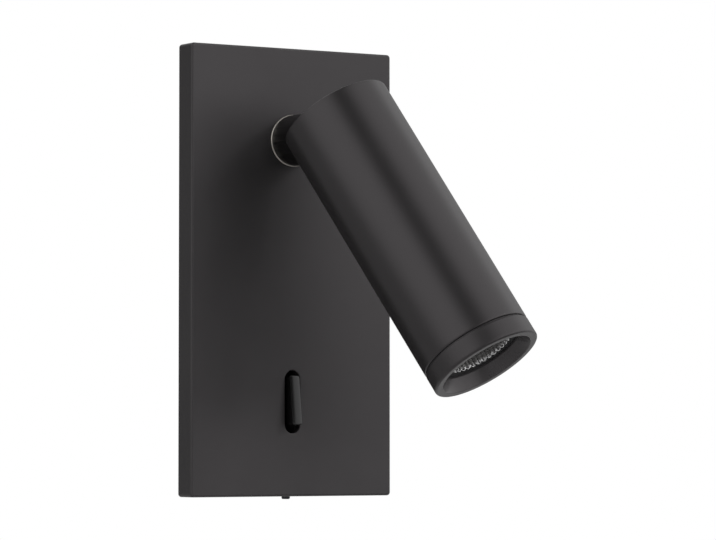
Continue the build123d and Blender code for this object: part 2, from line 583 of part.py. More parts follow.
def rocker():
    """The paddle: face arched from side to side, rounded corners and edges, ends cut back, hub and leg."""
    face_y = -ROCKER_PIVOT_IN - ROCKER_PROUD
    edge_y = face_y + ROCKER_CROWN
    half_w, end = ROCKER_W / 2, ROCKER_H / 2
    arch = ThreePointArc((-half_w, edge_y), (0, face_y), (half_w, edge_y))
    sides = Polyline((half_w, edge_y), (half_w, ROCKER_HUB_R), (-half_w, ROCKER_HUB_R), (-half_w, edge_y))
    across = make_face(Wire([arch, *sides.edges()]))
    bar = Pos(0, 0, -end) * extrude(across, amount=ROCKER_H, dir=(0, 0, 1))
    skirt_y = edge_y + ROCKER_SKIRT
    side_view = make_face(Polyline(
        (0, face_y - OVERCUT, -end), (0, skirt_y, -end), (0, ROCKER_HUB_R, -ROCKER_PIN_R),
        (0, ROCKER_HUB_R, ROCKER_PIN_R), (0, skirt_y, end), (0, face_y - OVERCUT, end), close=True,
    ))
    wedge = Pos(-half_w, 0, 0) * extrude(side_view, amount=ROCKER_W, dir=(1, 0, 0))
    front = Rot(90, 0, 0) * RectangleRounded(ROCKER_W, ROCKER_H, ROCKER_CORNER_R)
    corners = Pos(0, ROCKER_HUB_R, 0) * extrude(front, amount=ROCKER_HUB_R - face_y + OVERCUT, dir=(0, -1, 0))
    paddle = bar & wedge & corners
    face = paddle.faces().filter_by(GeomType.CYLINDER).sort_by(SortBy.AREA)[-1]
    paddle = fillet(face.edges(), ROCKER_EDGE_R)
    paddle += rod_x(ROCKER_HUB_R, -ROCKER_HUB_W / 2, ROCKER_HUB_W / 2)
    leg = block(-LEG_W / 2, LEG_W / 2, 0, LEG_L, -ROCKER_HUB_R, ROCKER_HUB_R)
    paddle += fillet(leg.edges().filter_by(Axis.X).group_by(Axis.Y)[-1], ROCKER_HUB_R / 2)
    paddle -= rod_x(ROCKER_PIN_R + RUNNING, -ROCKER_W, ROCKER_W)
    return on_rocker(paddle)


# ---------------------------------------------------------------- swivel
def swivel_stub():
    """Turned stub with its hollow threaded spigot behind and the flat tilt tongue in front."""
    stub = rod_y(STUB_R, STUB_END_Y, STUB_Y)
    stub = chamfer(stub.edges().filter_by(GeomType.CIRCLE).sort_by(Axis.Y)[0], STUB_CHAMFER)
    stub += rod_y(SPIGOT_R, STUB_Y - OVERCUT, SPIGOT_TAIL)
    half_t, half_w = TONGUE_T / 2, TONGUE_W / 2
    stub += block(-half_t, half_t, PIVOT_Y, STUB_END_Y + OVERCUT, -half_w, half_w)
    stub += rod_x(half_w, -half_t, half_t, y=PIVOT_Y)
    stub -= rod_x(PIVOT_PIN_R + RUNNING, -TONGUE_T, TONGUE_T, y=PIVOT_Y)
    bore_end = PIVOT_Y + FRICTION_WASHER_R + WIRE_EXIT_WALL
    stub -= rod_y(WIRE_BORE_R, bore_end, SPIGOT_TAIL + OVERCUT)
    exit_w = WIRE_BORE_R - EMBED
    stub -= block(-exit_w, exit_w, bore_end, bore_end + 2 * WIRE_BORE_R, -TONGUE_W, 0)
    stub -= block(-SPIGOT_R, SPIGOT_R, STOP_Y - PLAY, SPIGOT_TAIL + OVERCUT, SPIGOT_R - FLAT_DEPTH, THROUGH)
    return on_swivel(Pos(0, 0, SWIVEL_Z) * stub)


def stop_washer():
    """Keyed washer; its tab comes up against the stop pin at either end of the swivel's travel."""
    disc = rod_y(STOP_WASHER_R, STOP_Y, LOCK_Y)
    half = STOP_TAB_W / 2
    disc += block(-half, half, STOP_Y, LOCK_Y, -STOP_TAB_REACH, 0)
    hole = rod_y(SPIGOT_R + RUNNING, STOP_Y - OVERCUT, LOCK_Y + OVERCUT)
    flat_z = SPIGOT_R - FLAT_DEPTH + RUNNING
    hole -= block(-SPIGOT_R, SPIGOT_R, STOP_Y - OVERCUT, LOCK_Y + OVERCUT, flat_z, THROUGH)
    return on_swivel(Pos(0, 0, SWIVEL_Z) * (disc - hole))


def lock_washer():
    """Split spring washer between the stop washer and the nut."""
    ring = rod_y(LOCK_WASHER_R, LOCK_Y, NUT_Y) - rod_y(SPIGOT_R + SLIP, LOCK_Y - OVERCUT, NUT_Y + OVERCUT)
    cut = block(0, 2 * LOCK_WASHER_R, LOCK_Y - OVERCUT, NUT_Y + OVERCUT, 0, LOCK_WASHER_SPLIT)
    cut = Rot(0, LOCK_WASHER_TURN, 0) * cut
    return on_swivel(Pos(0, 0, SWIVEL_Z) * (ring - cut))


def swivel_nut():
    """Thin hexagon nut on the hollow spigot."""
    nut = hexagon_y(SWIVEL_NUT_AF, NUT_Y, NUT_Y + SWIVEL_NUT_T)
    nut -= rod_y(SPIGOT_R + THREAD, NUT_Y - OVERCUT, NUT_Y + SWIVEL_NUT_T + OVERCUT)
    return on_swivel(Pos(0, 0, SWIVEL_Z) * nut)


# ---------------------------------------------------------------- head: shell and tilt pivot
def tongue_slot(half_width):
    """The room that the tongue sweeps in the head, from lying across it to lying along it."""
    far = 2 * (HEAD_R + HEAD_REAR)
    sweep_room = block(-half_width, half_width, -SLOT_REACH, far, -SLOT_REACH, far)
    corner = sweep_room.edges().filter_by(Axis.X).sort_by(Axis.Y)[:2].sort_by(Axis.Z)[0]
    return fillet(corner, SLOT_REACH)


def head_shell():
    """The tube: closed rear end, rounded rear edge, slot for the tongue on the wall's side."""
    shell = turned([(0, HEAD_REAR), (HEAD_R, HEAD_REAR), (HEAD_R, -SHELL_END), (BORE_R, -SHELL_END),
                    (BORE_R, BLOCK_TOP), (0, BLOCK_TOP)])
    rear_edge = shell.edges().filter_by(GeomType.CIRCLE).sort_by(Axis.Z)[-1]
    shell = fillet(rear_edge, SHELL_EDGE_R)
    return on_head(shell - tongue_slot(TONGUE_T / 2 + SHELL_SLOT_CLEAR))


def pivot_block():
    """Turned block in the rear of the shell that carries the tilt pin either side of the tongue."""
    body = rod_s(CORE_FIT_R, -BLOCK_TOP, BLOCK_END)
    body -= tongue_slot(CHEEK_X)
    body -= rod_x(PIVOT_PIN_R + RUNNING, PIVOT_SHOULDER_X, PIVOT_SEAT_X + OVERCUT)
    body -= rod_x(PIVOT_HEAD_R + 2 * SLIP, PIVOT_SEAT_X, HEAD_R)
    body -= rod_x(PIVOT_THREAD_R + SLIP, -HEAD_R, PIVOT_SHOULDER_X + OVERCUT)
    body -= hexagon_x(PIVOT_NUT_AF + 2 * SLIP, -HEAD_R, nut_face_x())
    body -= rod_s(WIRE_HOLE_R, 0, BLOCK_END + OVERCUT, y=WIRE_HOLE_AT)
    for x in (-ROD_X, ROD_X):
        body -= rod_s(ROD_THREAD_R + THREAD, BLOCK_END - ROD_THREAD_L - SLIP, BLOCK_END + OVERCUT, x, ROD_Y)
    return on_head(body)


def nut_face_x():
    """Where the pivot nut bears on the block."""
    return PIVOT_SHOULDER_X - PIVOT_NUT_GAP


def pivot_screw():
    """Shoulder screw that the head tilts on: socket head, plain shank, threaded end."""
    head_x = PIVOT_SEAT_X + DISC_SPRING_T
    screw = rod_x(PIVOT_HEAD_R, head_x, head_x + PIVOT_HEAD_T)
    screw = chamfer(screw.edges().filter_by(GeomType.CIRCLE).sort_by(Axis.X)[-1], PIVOT_HEAD_T / 8)
    screw += rod_x(PIVOT_PIN_R, PIVOT_SHOULDER_X + SLIP, head_x)
    screw += rod_x(PIVOT_THREAD_R, nut_face_x() - PIVOT_NUT_T, PIVOT_SHOULDER_X + OVERCUT)
    screw -= hexagon_x(PIVOT_SOCKET, head_x + PIVOT_HEAD_T / 3, head_x + PIVOT_HEAD_T + OVERCUT)
    return on_head(screw)


def disc_spring():
    """Shallow cone spring washer under the pivot screw's head, pressed almost flat."""
    ring = rod_x(PIVOT_HEAD_R, PIVOT_SEAT_X, PIVOT_SEAT_X + DISC_SPRING_T)
    return on_head(ring - rod_x(PIVOT_PIN_R + SLIP, PIVOT_SEAT_X - OVERCUT, HEAD_R))


def pivot_nut():
    """Hexagon nut in the block's pocket."""
    nut = hexagon_x(PIVOT_NUT_AF, nut_face_x() - PIVOT_NUT_T, nut_face_x())
    return on_head(nut - rod_x(PIVOT_THREAD_R + THREAD, -HEAD_R, 0))


def friction_washers():
    """One thin washer on each side of the tongue."""
    washers = []
    for side in (-1, 1):
        outer, inner = side * CHEEK_X, side * (CHEEK_X - FRICTION_WASHER_T)
        ring = rod_x(FRICTION_WASHER_R, outer, inner) - rod_x(PIVOT_PIN_R + SLIP, -HEAD_R, HEAD_R)
        washers.append(on_head(ring))
    return washers


# ---------------------------------------------------------------- head: heat sink, light source, optics
def tie_rods():
    """Two rods that join the pivot block to the heat sink."""
    rods = []
    for x in (-ROD_X, ROD_X):
        rod = rod_s(ROD_R, BLOCK_END, CORE_TOP, x, ROD_Y)
        rod += rod_s(ROD_THREAD_R, BLOCK_END - ROD_THREAD_L, CORE_TOP + ROD_THREAD_L, x, ROD_Y)
        rods.append(on_head(rod))
    return rods


def heat_sink():
    """Turned heat sink: solid core, a flange at each end and disc fins between them."""
    sink = rod_s(CORE_R, CORE_TOP, CORE_AT)
    sink += rod_s(CORE_FIT_R, CORE_TOP, CORE_TOP + ROD_FLANGE_T)
    sink += rod_s(CORE_FIT_R, CORE_AT - FLANGE_T, CORE_AT)
    start = CORE_TOP + ROD_FLANGE_T
    count = int((CORE_AT - FLANGE_T - start) / FIN_PITCH)
    for i in range(count):
        at = start + (i + 0.5) * FIN_PITCH
        sink += rod_s(FIN_R, at, at + FIN_T)
    sink -= rod_s(WIRE_HOLE_R, CORE_TOP - OVERCUT, CORE_AT + OVERCUT, y=WIRE_HOLE_AT)
    for x in (-ROD_X, ROD_X):
        sink -= rod_s(ROD_THREAD_R + THREAD, CORE_TOP - OVERCUT, CORE_TOP + ROD_THREAD_L + SLIP, x, ROD_Y)
    for x in (-HOLDER_SCREW_X, HOLDER_SCREW_X):
        bite = HOLDER_SCREW_L - (HOLDER_T - HOLDER_SCREW_HEAD_T)
        sink -= rod_s(HOLDER_SCREW_R + THREAD, CORE_AT - bite - SLIP, CORE_AT + OVERCUT, x)
    return on_head(sink)


def thermal_pad():
    """Thin pad between the light source's board and the heat sink."""
    return on_head(Pos(0, 0, -(CORE_AT + PAD_AT) / 2) * Box(BOARD, BOARD, PAD_T))


def led_board():
    """Square board of the chip-on-board light source."""
    return on_head(Pos(0, 0, -(PAD_AT + BOARD_AT) / 2) * Box(BOARD, BOARD, BOARD_T))


def led_emitter():
    """Round phosphor face of the light source."""
    return on_head(rod_s(EMITTER_R, BOARD_AT, BOARD_AT + EMITTER_T))


def led_holder():
    """Moulded holder that clamps the board and centres the reflector's throat."""
    holder = rod_s(HOLDER_R, CORE_AT, CORE_AT + HOLDER_T)
    pocket = BOARD + 2 * SLIP
    depth = PAD_T + BOARD_T + SLIP
    holder -= Pos(0, 0, -(CORE_AT + depth / 2)) * Box(pocket, pocket, depth)
    holder -= rod_s(throat_outer_r() + SLIP, CORE_AT, CORE_AT + HOLDER_T + OVERCUT)
    holder -= rod_s(WIRE_HOLE_R, CORE_AT - OVERCUT, CORE_AT + HOLDER_T + OVERCUT, y=WIRE_HOLE_AT)
    for x in (-HOLDER_SCREW_X, HOLDER_SCREW_X):
        holder -= rod_s(HOLDER_SCREW_R + SLIP, CORE_AT - OVERCUT, CORE_AT + HOLDER_T, x)
        seat = CORE_AT + HOLDER_T - HOLDER_SCREW_HEAD_T
        holder -= rod_s(HOLDER_SCREW_HEAD_R + SLIP, seat, seat + HOLDER_T, x)
    return on_head(holder)


def holder_screws():
    """Two screws through the holder into the heat sink."""
    top = CORE_AT + HOLDER_T
    screws = []
    for x in (-HOLDER_SCREW_X, HOLDER_SCREW_X):
        screw = rod_s(HOLDER_SCREW_HEAD_R, top - HOLDER_SCREW_HEAD_T, top, x)
        screw += rod_s(HOLDER_SCREW_R, top - HOLDER_SCREW_HEAD_T - HOLDER_SCREW_L, top, x)
        screw -= hexagon_z(HOLDER_SCREW_R, -top - OVERCUT, -top + HOLDER_SCREW_HEAD_T / 2, x)
        screws.append(on_head(screw))
    return screws


def reflector_r(share):
    """Inside radius of the reflector at a share of its length from throat (0) to mouth (1)."""
    throat, mouth = REFLECTOR_THROAT_R**2, REFLECTOR_MOUTH_R**2
    return sqrt(throat + (mouth - throat) * share)


def throat_outer_r():
    """Outside radius of the reflector where the holder centres it."""
    share = (CORE_AT + HOLDER_T - THROAT_AT) / REFLECTOR_L
    return reflector_r(share) + REFLECTOR_WALL


def reflector():
    """Fluted dish: rows of flat facets inside, smooth outside, with a flange behind the mouth."""
    rows = [i / REFLECTOR_ROWS for i in range(REFLECTOR_ROWS + 1)]
    outside = [(reflector_r(t) + REFLECTOR_WALL, -(THROAT_AT + REFLECTOR_L * t)) for t in rows[:-1]]
    mouth_r = REFLECTOR_MOUTH_R + REFLECTOR_LIP
    outside += [(mouth_r, -MOUTH_AT)]
    dish = turned([(0, -THROAT_AT), *outside, (0, -MOUTH_AT)])
    flange_at = MOUTH_AT - REFLECTOR_FLANGE_SET
    dish += rod_s(REFLECTOR_FLANGE_R, flange_at - REFLECTOR_FLANGE_T, flange_at)
    sections = []
    for t in rows:
        ring = RegularPolygon(reflector_r(t), REFLECTOR_FLUTES)
        sections.append(Pos(0, 0, -(THROAT_AT + REFLECTOR_L * t)) * ring)
    return on_head(dish - loft(sections, ruled=True))


def reflector_ring():
    """Black ring behind the bezel that holds the reflector by its flange."""
    outer = BEZEL_BORE_R - SLIP
    hole = REFLECTOR_MOUTH_R + REFLECTOR_LIP + SLIP
    ring = rod_s(outer, SHELF_AT - RING_T, SHELF_AT) - rod_s(hole, 0, HEAD_FRONT)
    flange_at = MOUTH_AT - REFLECTOR_FLANGE_SET
    ring -= rod_s(REFLECTOR_FLANGE_R + SLIP, SHELF_AT - RING_T - OVERCUT, flange_at)
    return on_head(ring)


def bezel():
    """Screw-in front ring: rounded lip, inner cone, shelf for the reflector ring, threaded spigot."""
    groove_r = HEAD_R - GROOVE_DEPTH
    ring = turned([
        (BEZEL_MOUTH_R, -HEAD_FRONT), (HEAD_R, -HEAD_FRONT), (HEAD_R, -BEZEL_AT), (groove_r, -BEZEL_AT),
        (groove_r, -SHELL_END), (CORE_FIT_R, -SHELL_END), (CORE_FIT_R, -(SHELL_END - BEZEL_SPIGOT_L)),
        (BEZEL_BORE_R, -(SHELL_END - BEZEL_SPIGOT_L)), (BEZEL_BORE_R, -SHELF_AT),
        (BEZEL_THROAT_R, -SHELF_AT), (BEZEL_THROAT_R, -(HEAD_FRONT - BEZEL_CONE_L)),
    ])
    lip = [e for e in ring.edges().filter_by(GeomType.CIRCLE) if abs(e.center().Z + HEAD_FRONT) < 0.01]
    outer_lip = max(lip, key=lambda e: e.radius)
    return on_head(fillet(outer_lip, BEZEL_EDGE_R))


# ---------------------------------------------------------------- write every node
NODES = {
    "front_plate": front_plate, "wall_bracket": wall_bracket, "set_screw": set_screw,
    "driver_case": driver_case, "driver_screws": driver_screws, "terminal_block": terminal_block,
    "terminal_screws": terminal_screws, "earth_screw": earth_screw, "swivel_bush": swivel_bush,
    "swivel_washer": swivel_washer, "stop_pin": stop_pin, "switch_housing": switch_housing,
    "switch_terminals": switch_terminals, "switch_screws": switch_screws, "rocker_pin": rocker_pin,
    "rocker": rocker, "swivel_stub": swivel_stub, "stop_washer": stop_washer,
    "lock_washer": lock_washer, "swivel_nut": swivel_nut, "head_shell": head_shell,
    "pivot_block": pivot_block, "pivot_screw": pivot_screw, "disc_spring": disc_spring,
    "pivot_nut": pivot_nut, "friction_washers": friction_washers, "tie_rods": tie_rods,
    "heat_sink": heat_sink, "thermal_pad": thermal_pad, "led_board": led_board,
    "led_emitter": led_emitter, "led_holder": led_holder, "holder_screws": holder_screws,
    "reflector": reflector, "reflector_ring": reflector_ring, "bezel": bezel,
}

os.makedirs("parts", exist_ok=True)
for name, make in NODES.items():
    made = make()
    pieces = made if isinstance(made, list) else [made]
    solids = [solid for piece in pieces for solid in piece.solids()]
    whole = solids[0] if len(solids) == 1 else Compound(children=solids)
    export_step(whole, f"parts/{name}.step")
    print(f"{name}: {len(solids)} solid(s), {sum(s.volume for s in solids):.1f} mm3")
print(f"swivel travel each way from straight down: {180 - STOP_ANGLE:.1f} degrees")
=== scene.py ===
# %% [markdown]
# # A pivoting spotlight for the wall
#
# The object is a flat black plate on a wall. A short stub near its top carries a slim tube that swivels
# and tilts, with a silvered reflector in its mouth. A narrow rocker switch sits in a slot lower down.
#
# The construction model is loaded as a fixed frame. It has every piece at its real size, but its meshes
# are loose triangles, so curved pieces would show their facets in a glossy finish. This lesson keeps
# each piece's place and size, and makes what the eye meets as smooth surfaces with a finish of its own.

import json
from math import atan2, cos, degrees, pi, radians, sin

import bmesh
import bpy
import numpy as np
from mathutils import Matrix, Vector

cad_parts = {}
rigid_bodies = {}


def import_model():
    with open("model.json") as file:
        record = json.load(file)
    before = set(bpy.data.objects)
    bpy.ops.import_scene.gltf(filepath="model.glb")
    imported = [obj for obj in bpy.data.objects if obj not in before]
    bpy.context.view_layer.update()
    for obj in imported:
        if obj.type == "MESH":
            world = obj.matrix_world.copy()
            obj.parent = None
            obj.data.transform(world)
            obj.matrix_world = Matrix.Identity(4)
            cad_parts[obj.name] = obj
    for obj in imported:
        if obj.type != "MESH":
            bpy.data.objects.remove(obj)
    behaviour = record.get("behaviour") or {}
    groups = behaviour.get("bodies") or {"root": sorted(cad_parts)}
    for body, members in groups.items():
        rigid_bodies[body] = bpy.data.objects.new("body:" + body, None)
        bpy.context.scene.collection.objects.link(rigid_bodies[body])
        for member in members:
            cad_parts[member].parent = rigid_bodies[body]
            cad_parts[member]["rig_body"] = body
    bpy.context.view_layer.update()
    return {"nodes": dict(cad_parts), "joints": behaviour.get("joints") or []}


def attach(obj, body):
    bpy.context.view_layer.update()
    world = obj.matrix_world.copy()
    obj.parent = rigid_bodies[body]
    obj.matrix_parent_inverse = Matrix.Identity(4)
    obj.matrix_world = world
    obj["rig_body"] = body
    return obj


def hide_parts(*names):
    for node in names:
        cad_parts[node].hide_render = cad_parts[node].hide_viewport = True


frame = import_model()
print("pieces:", len(frame["nodes"]))

# %% [markdown]
# ## Where the head stands
#
# The head hangs from two hinges, so its own frame is turned in space. Both turns can be read from the
# frame's joints: the tilt hinge's axis says how far the stub is swivelled, and the lower end of its
# range says how far the head is tilted out from the wall. Reading them, rather than writing them down
# again, keeps the drawn pieces on the same axes as the construction model.

# %% Read the hinges
joints = {joint["name"]: joint for joint in frame["joints"]}
tilt_axis = Vector(joints["tilt"]["axis"]).normalized()
pivot = Vector(joints["tilt"]["pos_m"])
swivel_point = Vector(joints["swivel"]["pos_m"])
rest_tilt = radians(-joints["tilt"]["range_deg"][0])
rest_swivel = atan2(-tilt_axis.z, -tilt_axis.x)

# The ring's frame: Z runs out of the wall from the swivel's hinge.
to_ring = Matrix.Translation(swivel_point) @ Matrix.Rotation(pi / 2, 4, "X")
# The head's frame: -Z runs from the pivot to the lens, +Y faces the wall before the head is tilted.
to_head = (
    Matrix.Translation(pivot)
    @ Matrix.Rotation(rest_swivel, 4, Vector((0, -1, 0)))
    @ Matrix.Rotation(rest_tilt, 4, Vector((-1, 0, 0)))
)
print(f"swivelled {degrees(rest_swivel):.1f} degrees, tilted {degrees(rest_tilt):.1f} degrees")

# %% [markdown]
# ## Camera
#
# The photograph was taken from the left and a little below the middle of the plate, with a long lens:
# the plate's edges hardly converge. A long lens is set by its focal length against the sensor's width.
# The camera's turn is built from its yaw and pitch, so that the picture's sides stay upright.

# %% Place the camera
CAMERA_PLACE = Vector((-0.6689, -1.1145, -0.0572))
CAMERA_YAW = radians(32.221)
CAMERA_PITCH = radians(2.566)
CAMERA_SENSOR = 36.0
CAMERA_LENS = 182.1

camera_data = bpy.data.cameras.new("camera")
camera_data.sensor_width = CAMERA_SENSOR
camera_data.lens = CAMERA_LENS
camera_data.clip_start = 0.01
camera = bpy.data.objects.new("camera", camera_data)
camera.location = CAMERA_PLACE
camera.rotation_euler = (pi / 2 + CAMERA_PITCH, 0, -CAMERA_YAW)
bpy.context.scene.collection.objects.link(camera)
bpy.context.scene.camera = camera
bpy.context.scene.view_settings.view_transform = "Standard"
print(f"camera {CAMERA_PLACE.length:.2f} m from the plate")

# %% [markdown]
# ## Studio: world and lamps
#
# Black satin paint shows little of its own colour. What one sees is the studio, blurred by the paint.
# So the studio is drawn with care, as a world whose light depends on the direction. It is white to the
# camera. To all other rays it is nearly white, with soft dark parts where a real room has no panel:
# towards the floor and the ceiling, in a few round patches, and in one upright gap between two big
# diffusers, left of straight ahead. The tube mirrors that gap as the long dark stripe down its side, and
# the plate mirrors a dark table, low in front to the right.
#
# Each part is placed by an azimuth from straight out of the wall and a height. Its mask is a smooth step
# of the share of a ray's direction that lies along that one.
#
# Three lamps add soft shadows. Glossy rays don't see them, so the paint mirrors the world alone.

# %% Helpers for shader nodes
def add(tree, kind, **settings):
    """A new node of that kind in the tree, with its settings."""
    node = tree.nodes.new(kind)
    for name, value in settings.items():
        setattr(node, name, value)
    return node


def maths(tree, operation, first, second=None, third=None):
    """A Math node; each input is a socket or a number."""
    node = add(tree, "ShaderNodeMath", operation=operation)
    for socket, value in zip(node.inputs, (first, second, third)):
        if isinstance(value, bpy.types.NodeSocket):
            tree.links.new(value, socket)
        elif value is not None:
            socket.default_value = value
    return node.outputs[0]


def direction(azimuth, height):
    """The unit vector at that azimuth, from straight out of the wall towards +X, and that height."""
    azimuth, height = radians(azimuth), radians(height)
    return (sin(azimuth) * cos(height), -cos(azimuth) * cos(height), sin(height))


# %% Helpers for soft masks
def ramp(tree, value, low, high, start=0.0, finish=1.0):
    """A smooth step of a value, from start at low to finish at high."""
    step = add(tree, "ShaderNodeMapRange", interpolation_type="SMOOTHSTEP")
    tree.links.new(value, step.inputs["Value"])
    for name, number in (("From Min", low), ("From Max", high), ("To Min", start), ("To Max", finish)):
        step.inputs[name].default_value = number
    return step.outputs["Result"]


def along(tree, way, axis):
    """The share of a direction that lies along an axis."""
    dot = add(tree, "ShaderNodeVectorMath", operation="DOT_PRODUCT")
    tree.links.new(way, dot.inputs[0])
    dot.inputs[1].default_value = axis
    return dot.outputs["Value"]


def between_heights(tree, height, low, high, start, finish):
    """A ramp of a direction's height, between two heights in degrees."""
    return ramp(tree, height, sin(radians(low)), sin(radians(high)), start, finish)


# %% Measures of the studio
STUDIO_GLOSS = 1.08  # how bright the diffusers are to glossy rays
STUDIO_FILL = 1.0  # how bright the room is to all other rays
GAP_AZIMUTH = -27  # the middle of the dark gap between the two diffusers
GAP_SOFT = (4, 25)  # degrees from its middle where it is darkest, and where it ends
GAP_LEFT = 0.0  # share of light left in the gap
# The gap is only in front: below the first share along its middle there is none, above the second it is full.
GAP_AHEAD = (0.1, 0.4)
# Bands of height: two heights in degrees, and the value at and beyond each of them.
TO_FLOOR = (-30, 3, 0.04, 1.0)
TO_CEILING = (56, 76, 1.0, 0.12)
TABLE = (-7, 3, 0.97, 0.0)  # the share of light that the table takes away
TABLE_AZIMUTH = 31  # where the plate mirrors it to the camera, which stands at -31
TABLE_SOFT = (0.5, 0.85)
# Round patches: azimuth and height, the shares along that direction where the patch begins and where it
# is full, and the share of light left in it.
PATCHES = {
    "behind to the right": (140, 8, 0.7, 0.97, 0.45),
    "over the right": (100, 62, cos(radians(28)), cos(radians(8)), 0.45),
    "behind to the left": (-160, -5, 0.5, 0.97, 0.15),
}
print("gap at azimuth", GAP_AZIMUTH, "and patches", ", ".join(PATCHES))

# %% Light the world
world = bpy.data.worlds.new("studio")
world.use_nodes = True
bpy.context.scene.world = world
tree = world.node_tree
tree.nodes.clear()
rays = add(tree, "ShaderNodeLightPath")
way = add(tree, "ShaderNodeTexCoord").outputs["Generated"]
height = along(tree, way, (0, 0, 1))
aside = maths(tree, "ABSOLUTE", along(tree, way, direction(GAP_AZIMUTH + 90, 0)))
ahead = along(tree, way, direction(GAP_AZIMUTH, 0))
studio = ramp(tree, aside, sin(radians(GAP_SOFT[0])), sin(radians(GAP_SOFT[1])), GAP_LEFT, 1.0)
studio = maths(tree, "MAXIMUM", studio, ramp(tree, ahead, *GAP_AHEAD, 1.0, 0.0))
for band in (TO_FLOOR, TO_CEILING):
    studio = maths(tree, "MULTIPLY", studio, between_heights(tree, height, *band))
for azimuth, middle, begins, full, share in PATCHES.values():
    patch = ramp(tree, along(tree, way, direction(azimuth, middle)), begins, full, 1.0, share)
    studio = maths(tree, "MULTIPLY", studio, patch)
facing = ramp(tree, along(tree, way, direction(TABLE_AZIMUTH, 0)), *TABLE_SOFT)
table = maths(tree, "MULTIPLY", facing, between_heights(tree, height, *TABLE))
studio = maths(tree, "MULTIPLY", studio, maths(tree, "SUBTRACT", 1.0, table))
seen_in_gloss = maths(tree, "MAXIMUM", rays.outputs["Is Glossy Ray"], rays.outputs["Is Transmission Ray"])
strength = maths(tree, "MULTIPLY_ADD", seen_in_gloss, STUDIO_GLOSS - STUDIO_FILL, STUDIO_FILL)
level = maths(tree, "MULTIPLY", studio, strength)
camera_share = maths(tree, "MULTIPLY", rays.outputs["Is Camera Ray"], maths(tree, "SUBTRACT", 1.0, level))
backdrop = add(tree, "ShaderNodeBackground")
backdrop.inputs["Color"].default_value = (1, 1, 1, 1)
tree.links.new(maths(tree, "ADD", level, camera_share), backdrop.inputs["Strength"])
tree.links.new(backdrop.outputs[0], add(tree, "ShaderNodeOutputWorld").inputs["Surface"])
print("studio:", len(tree.nodes), "nodes")

# %% Hang the lamps
LAMP_DISTANCE = 2.0
LAMPS = {
    "key": dict(way=(50, 28), size=0.5, power=20.0),
    "front": dict(way=(10, 20), size=0.8, power=13.0),
    "fill": dict(way=(-70, 35), size=1.2, power=5.0),
}
for name, lamp in LAMPS.items():
    light = bpy.data.lights.new(name, "AREA")
    light.size = lamp["size"]
    light.energy = lamp["power"]
    hung = bpy.data.objects.new(name, light)
    hung.location = LAMP_DISTANCE * Vector(direction(*lamp["way"]))
    hung.rotation_euler = (-hung.location).to_track_quat("-Z", "Y").to_euler()
    hung.visible_glossy = False
    bpy.context.scene.collection.objects.link(hung)
print("lamps:", ", ".join(LAMPS))

# %% [markdown]
# ## Surfaces from numbers
#
# Every new piece is a grid of points worked out as whole arrays. Two kinds cover almost all of this
# object: a turned piece, which is an outline carried round an axis, and a prism, which is an outline
# carried straight. Both start from an outline whose corners are rounded by a formula, because a real
# edge always has a small radius and it is that radius that catches the light.

# %% Build a mesh from a grid
SMOOTH_ANGLE = radians(32)  # edges sharper than this stay sharp
MERGE = 1e-7  # metres, below which two points become one


def finish_mesh(mesh):
    """Merges doubled points, turns the faces outwards and smooths all but the sharp edges."""
    work = bmesh.new()
    work.from_mesh(mesh)
    bmesh.ops.remove_doubles(work, verts=work.verts, dist=MERGE)
    bmesh.ops.dissolve_degenerate(work, edges=work.edges, dist=MERGE)
    bmesh.ops.recalc_face_normals(work, faces=work.faces)
    work.to_mesh(mesh)
    work.free()
    mesh.polygons.foreach_set("use_smooth", np.ones(len(mesh.polygons), bool))
    mesh.set_sharp_from_angle(angle=SMOOTH_ANGLE)
    mesh.update()


def grid_mesh(name, points, closed=(True, True)):
    """A mesh of quads over points of shape (rows, columns, 3), joined end to end where closed."""
    rows, columns = points.shape[:2]
    index = np.arange(rows * columns).reshape(rows, columns)
    if closed[0]:
        index = np.vstack([index, index[:1]])
    if closed[1]:
        index = np.hstack([index, index[:, :1]])
    quads = np.stack([index[:-1, :-1], index[1:, :-1], index[1:, 1:], index[:-1, 1:]], -1).reshape(-1, 4)
    mesh = bpy.data.meshes.new(name)
    mesh.from_pydata(points.reshape(-1, 3), [], quads.tolist())
    return mesh


# %% Round the corners of an outline
STRAIGHT = 1e-12  # stands in for the length of the bisector where a corner is straight


def rounded(corners, steps=6, closed=True):
    """An outline from rows of (x, y, radius): each corner is an arc that touches both of its sides.

    The arc's centre lies on the corner's bisector, at radius / sin(half the corner's angle), and its
    points are the unit vectors between the two side normals, spread evenly by angle."""
    corners = np.array(corners, float)
    spot, radius = corners[:, :2], corners[:, 2]
    back = np.roll(spot, 1, 0) - spot
    ahead = np.roll(spot, -1, 0) - spot
    back /= np.linalg.norm(back, axis=1, keepdims=True)
    ahead /= np.linalg.norm(ahead, axis=1, keepdims=True)
    if not closed:
        radius[[0, -1]] = 0
    half = np.arccos(np.clip((back * ahead).sum(1), -1, 1)) / 2
    middle = back + ahead
    middle /= np.maximum(np.linalg.norm(middle, axis=1, keepdims=True), STRAIGHT)
    centre = spot + middle * (radius / np.sin(half))[:, None]
    turn = pi / 2 - half
    share = np.linspace(-1, 1, steps)
    angle = share[None, :] * turn[:, None]
    side = np.stack([-middle[:, 1], middle[:, 0]], 1)
    side *= np.sign((ahead * side).sum(1))[:, None]
    arc = -middle[:, None] * np.cos(angle)[..., None] + side[:, None] * np.sin(angle)[..., None]
    points = centre[:, None] + arc * radius[:, None, None]
    return points.reshape(-1, 2)


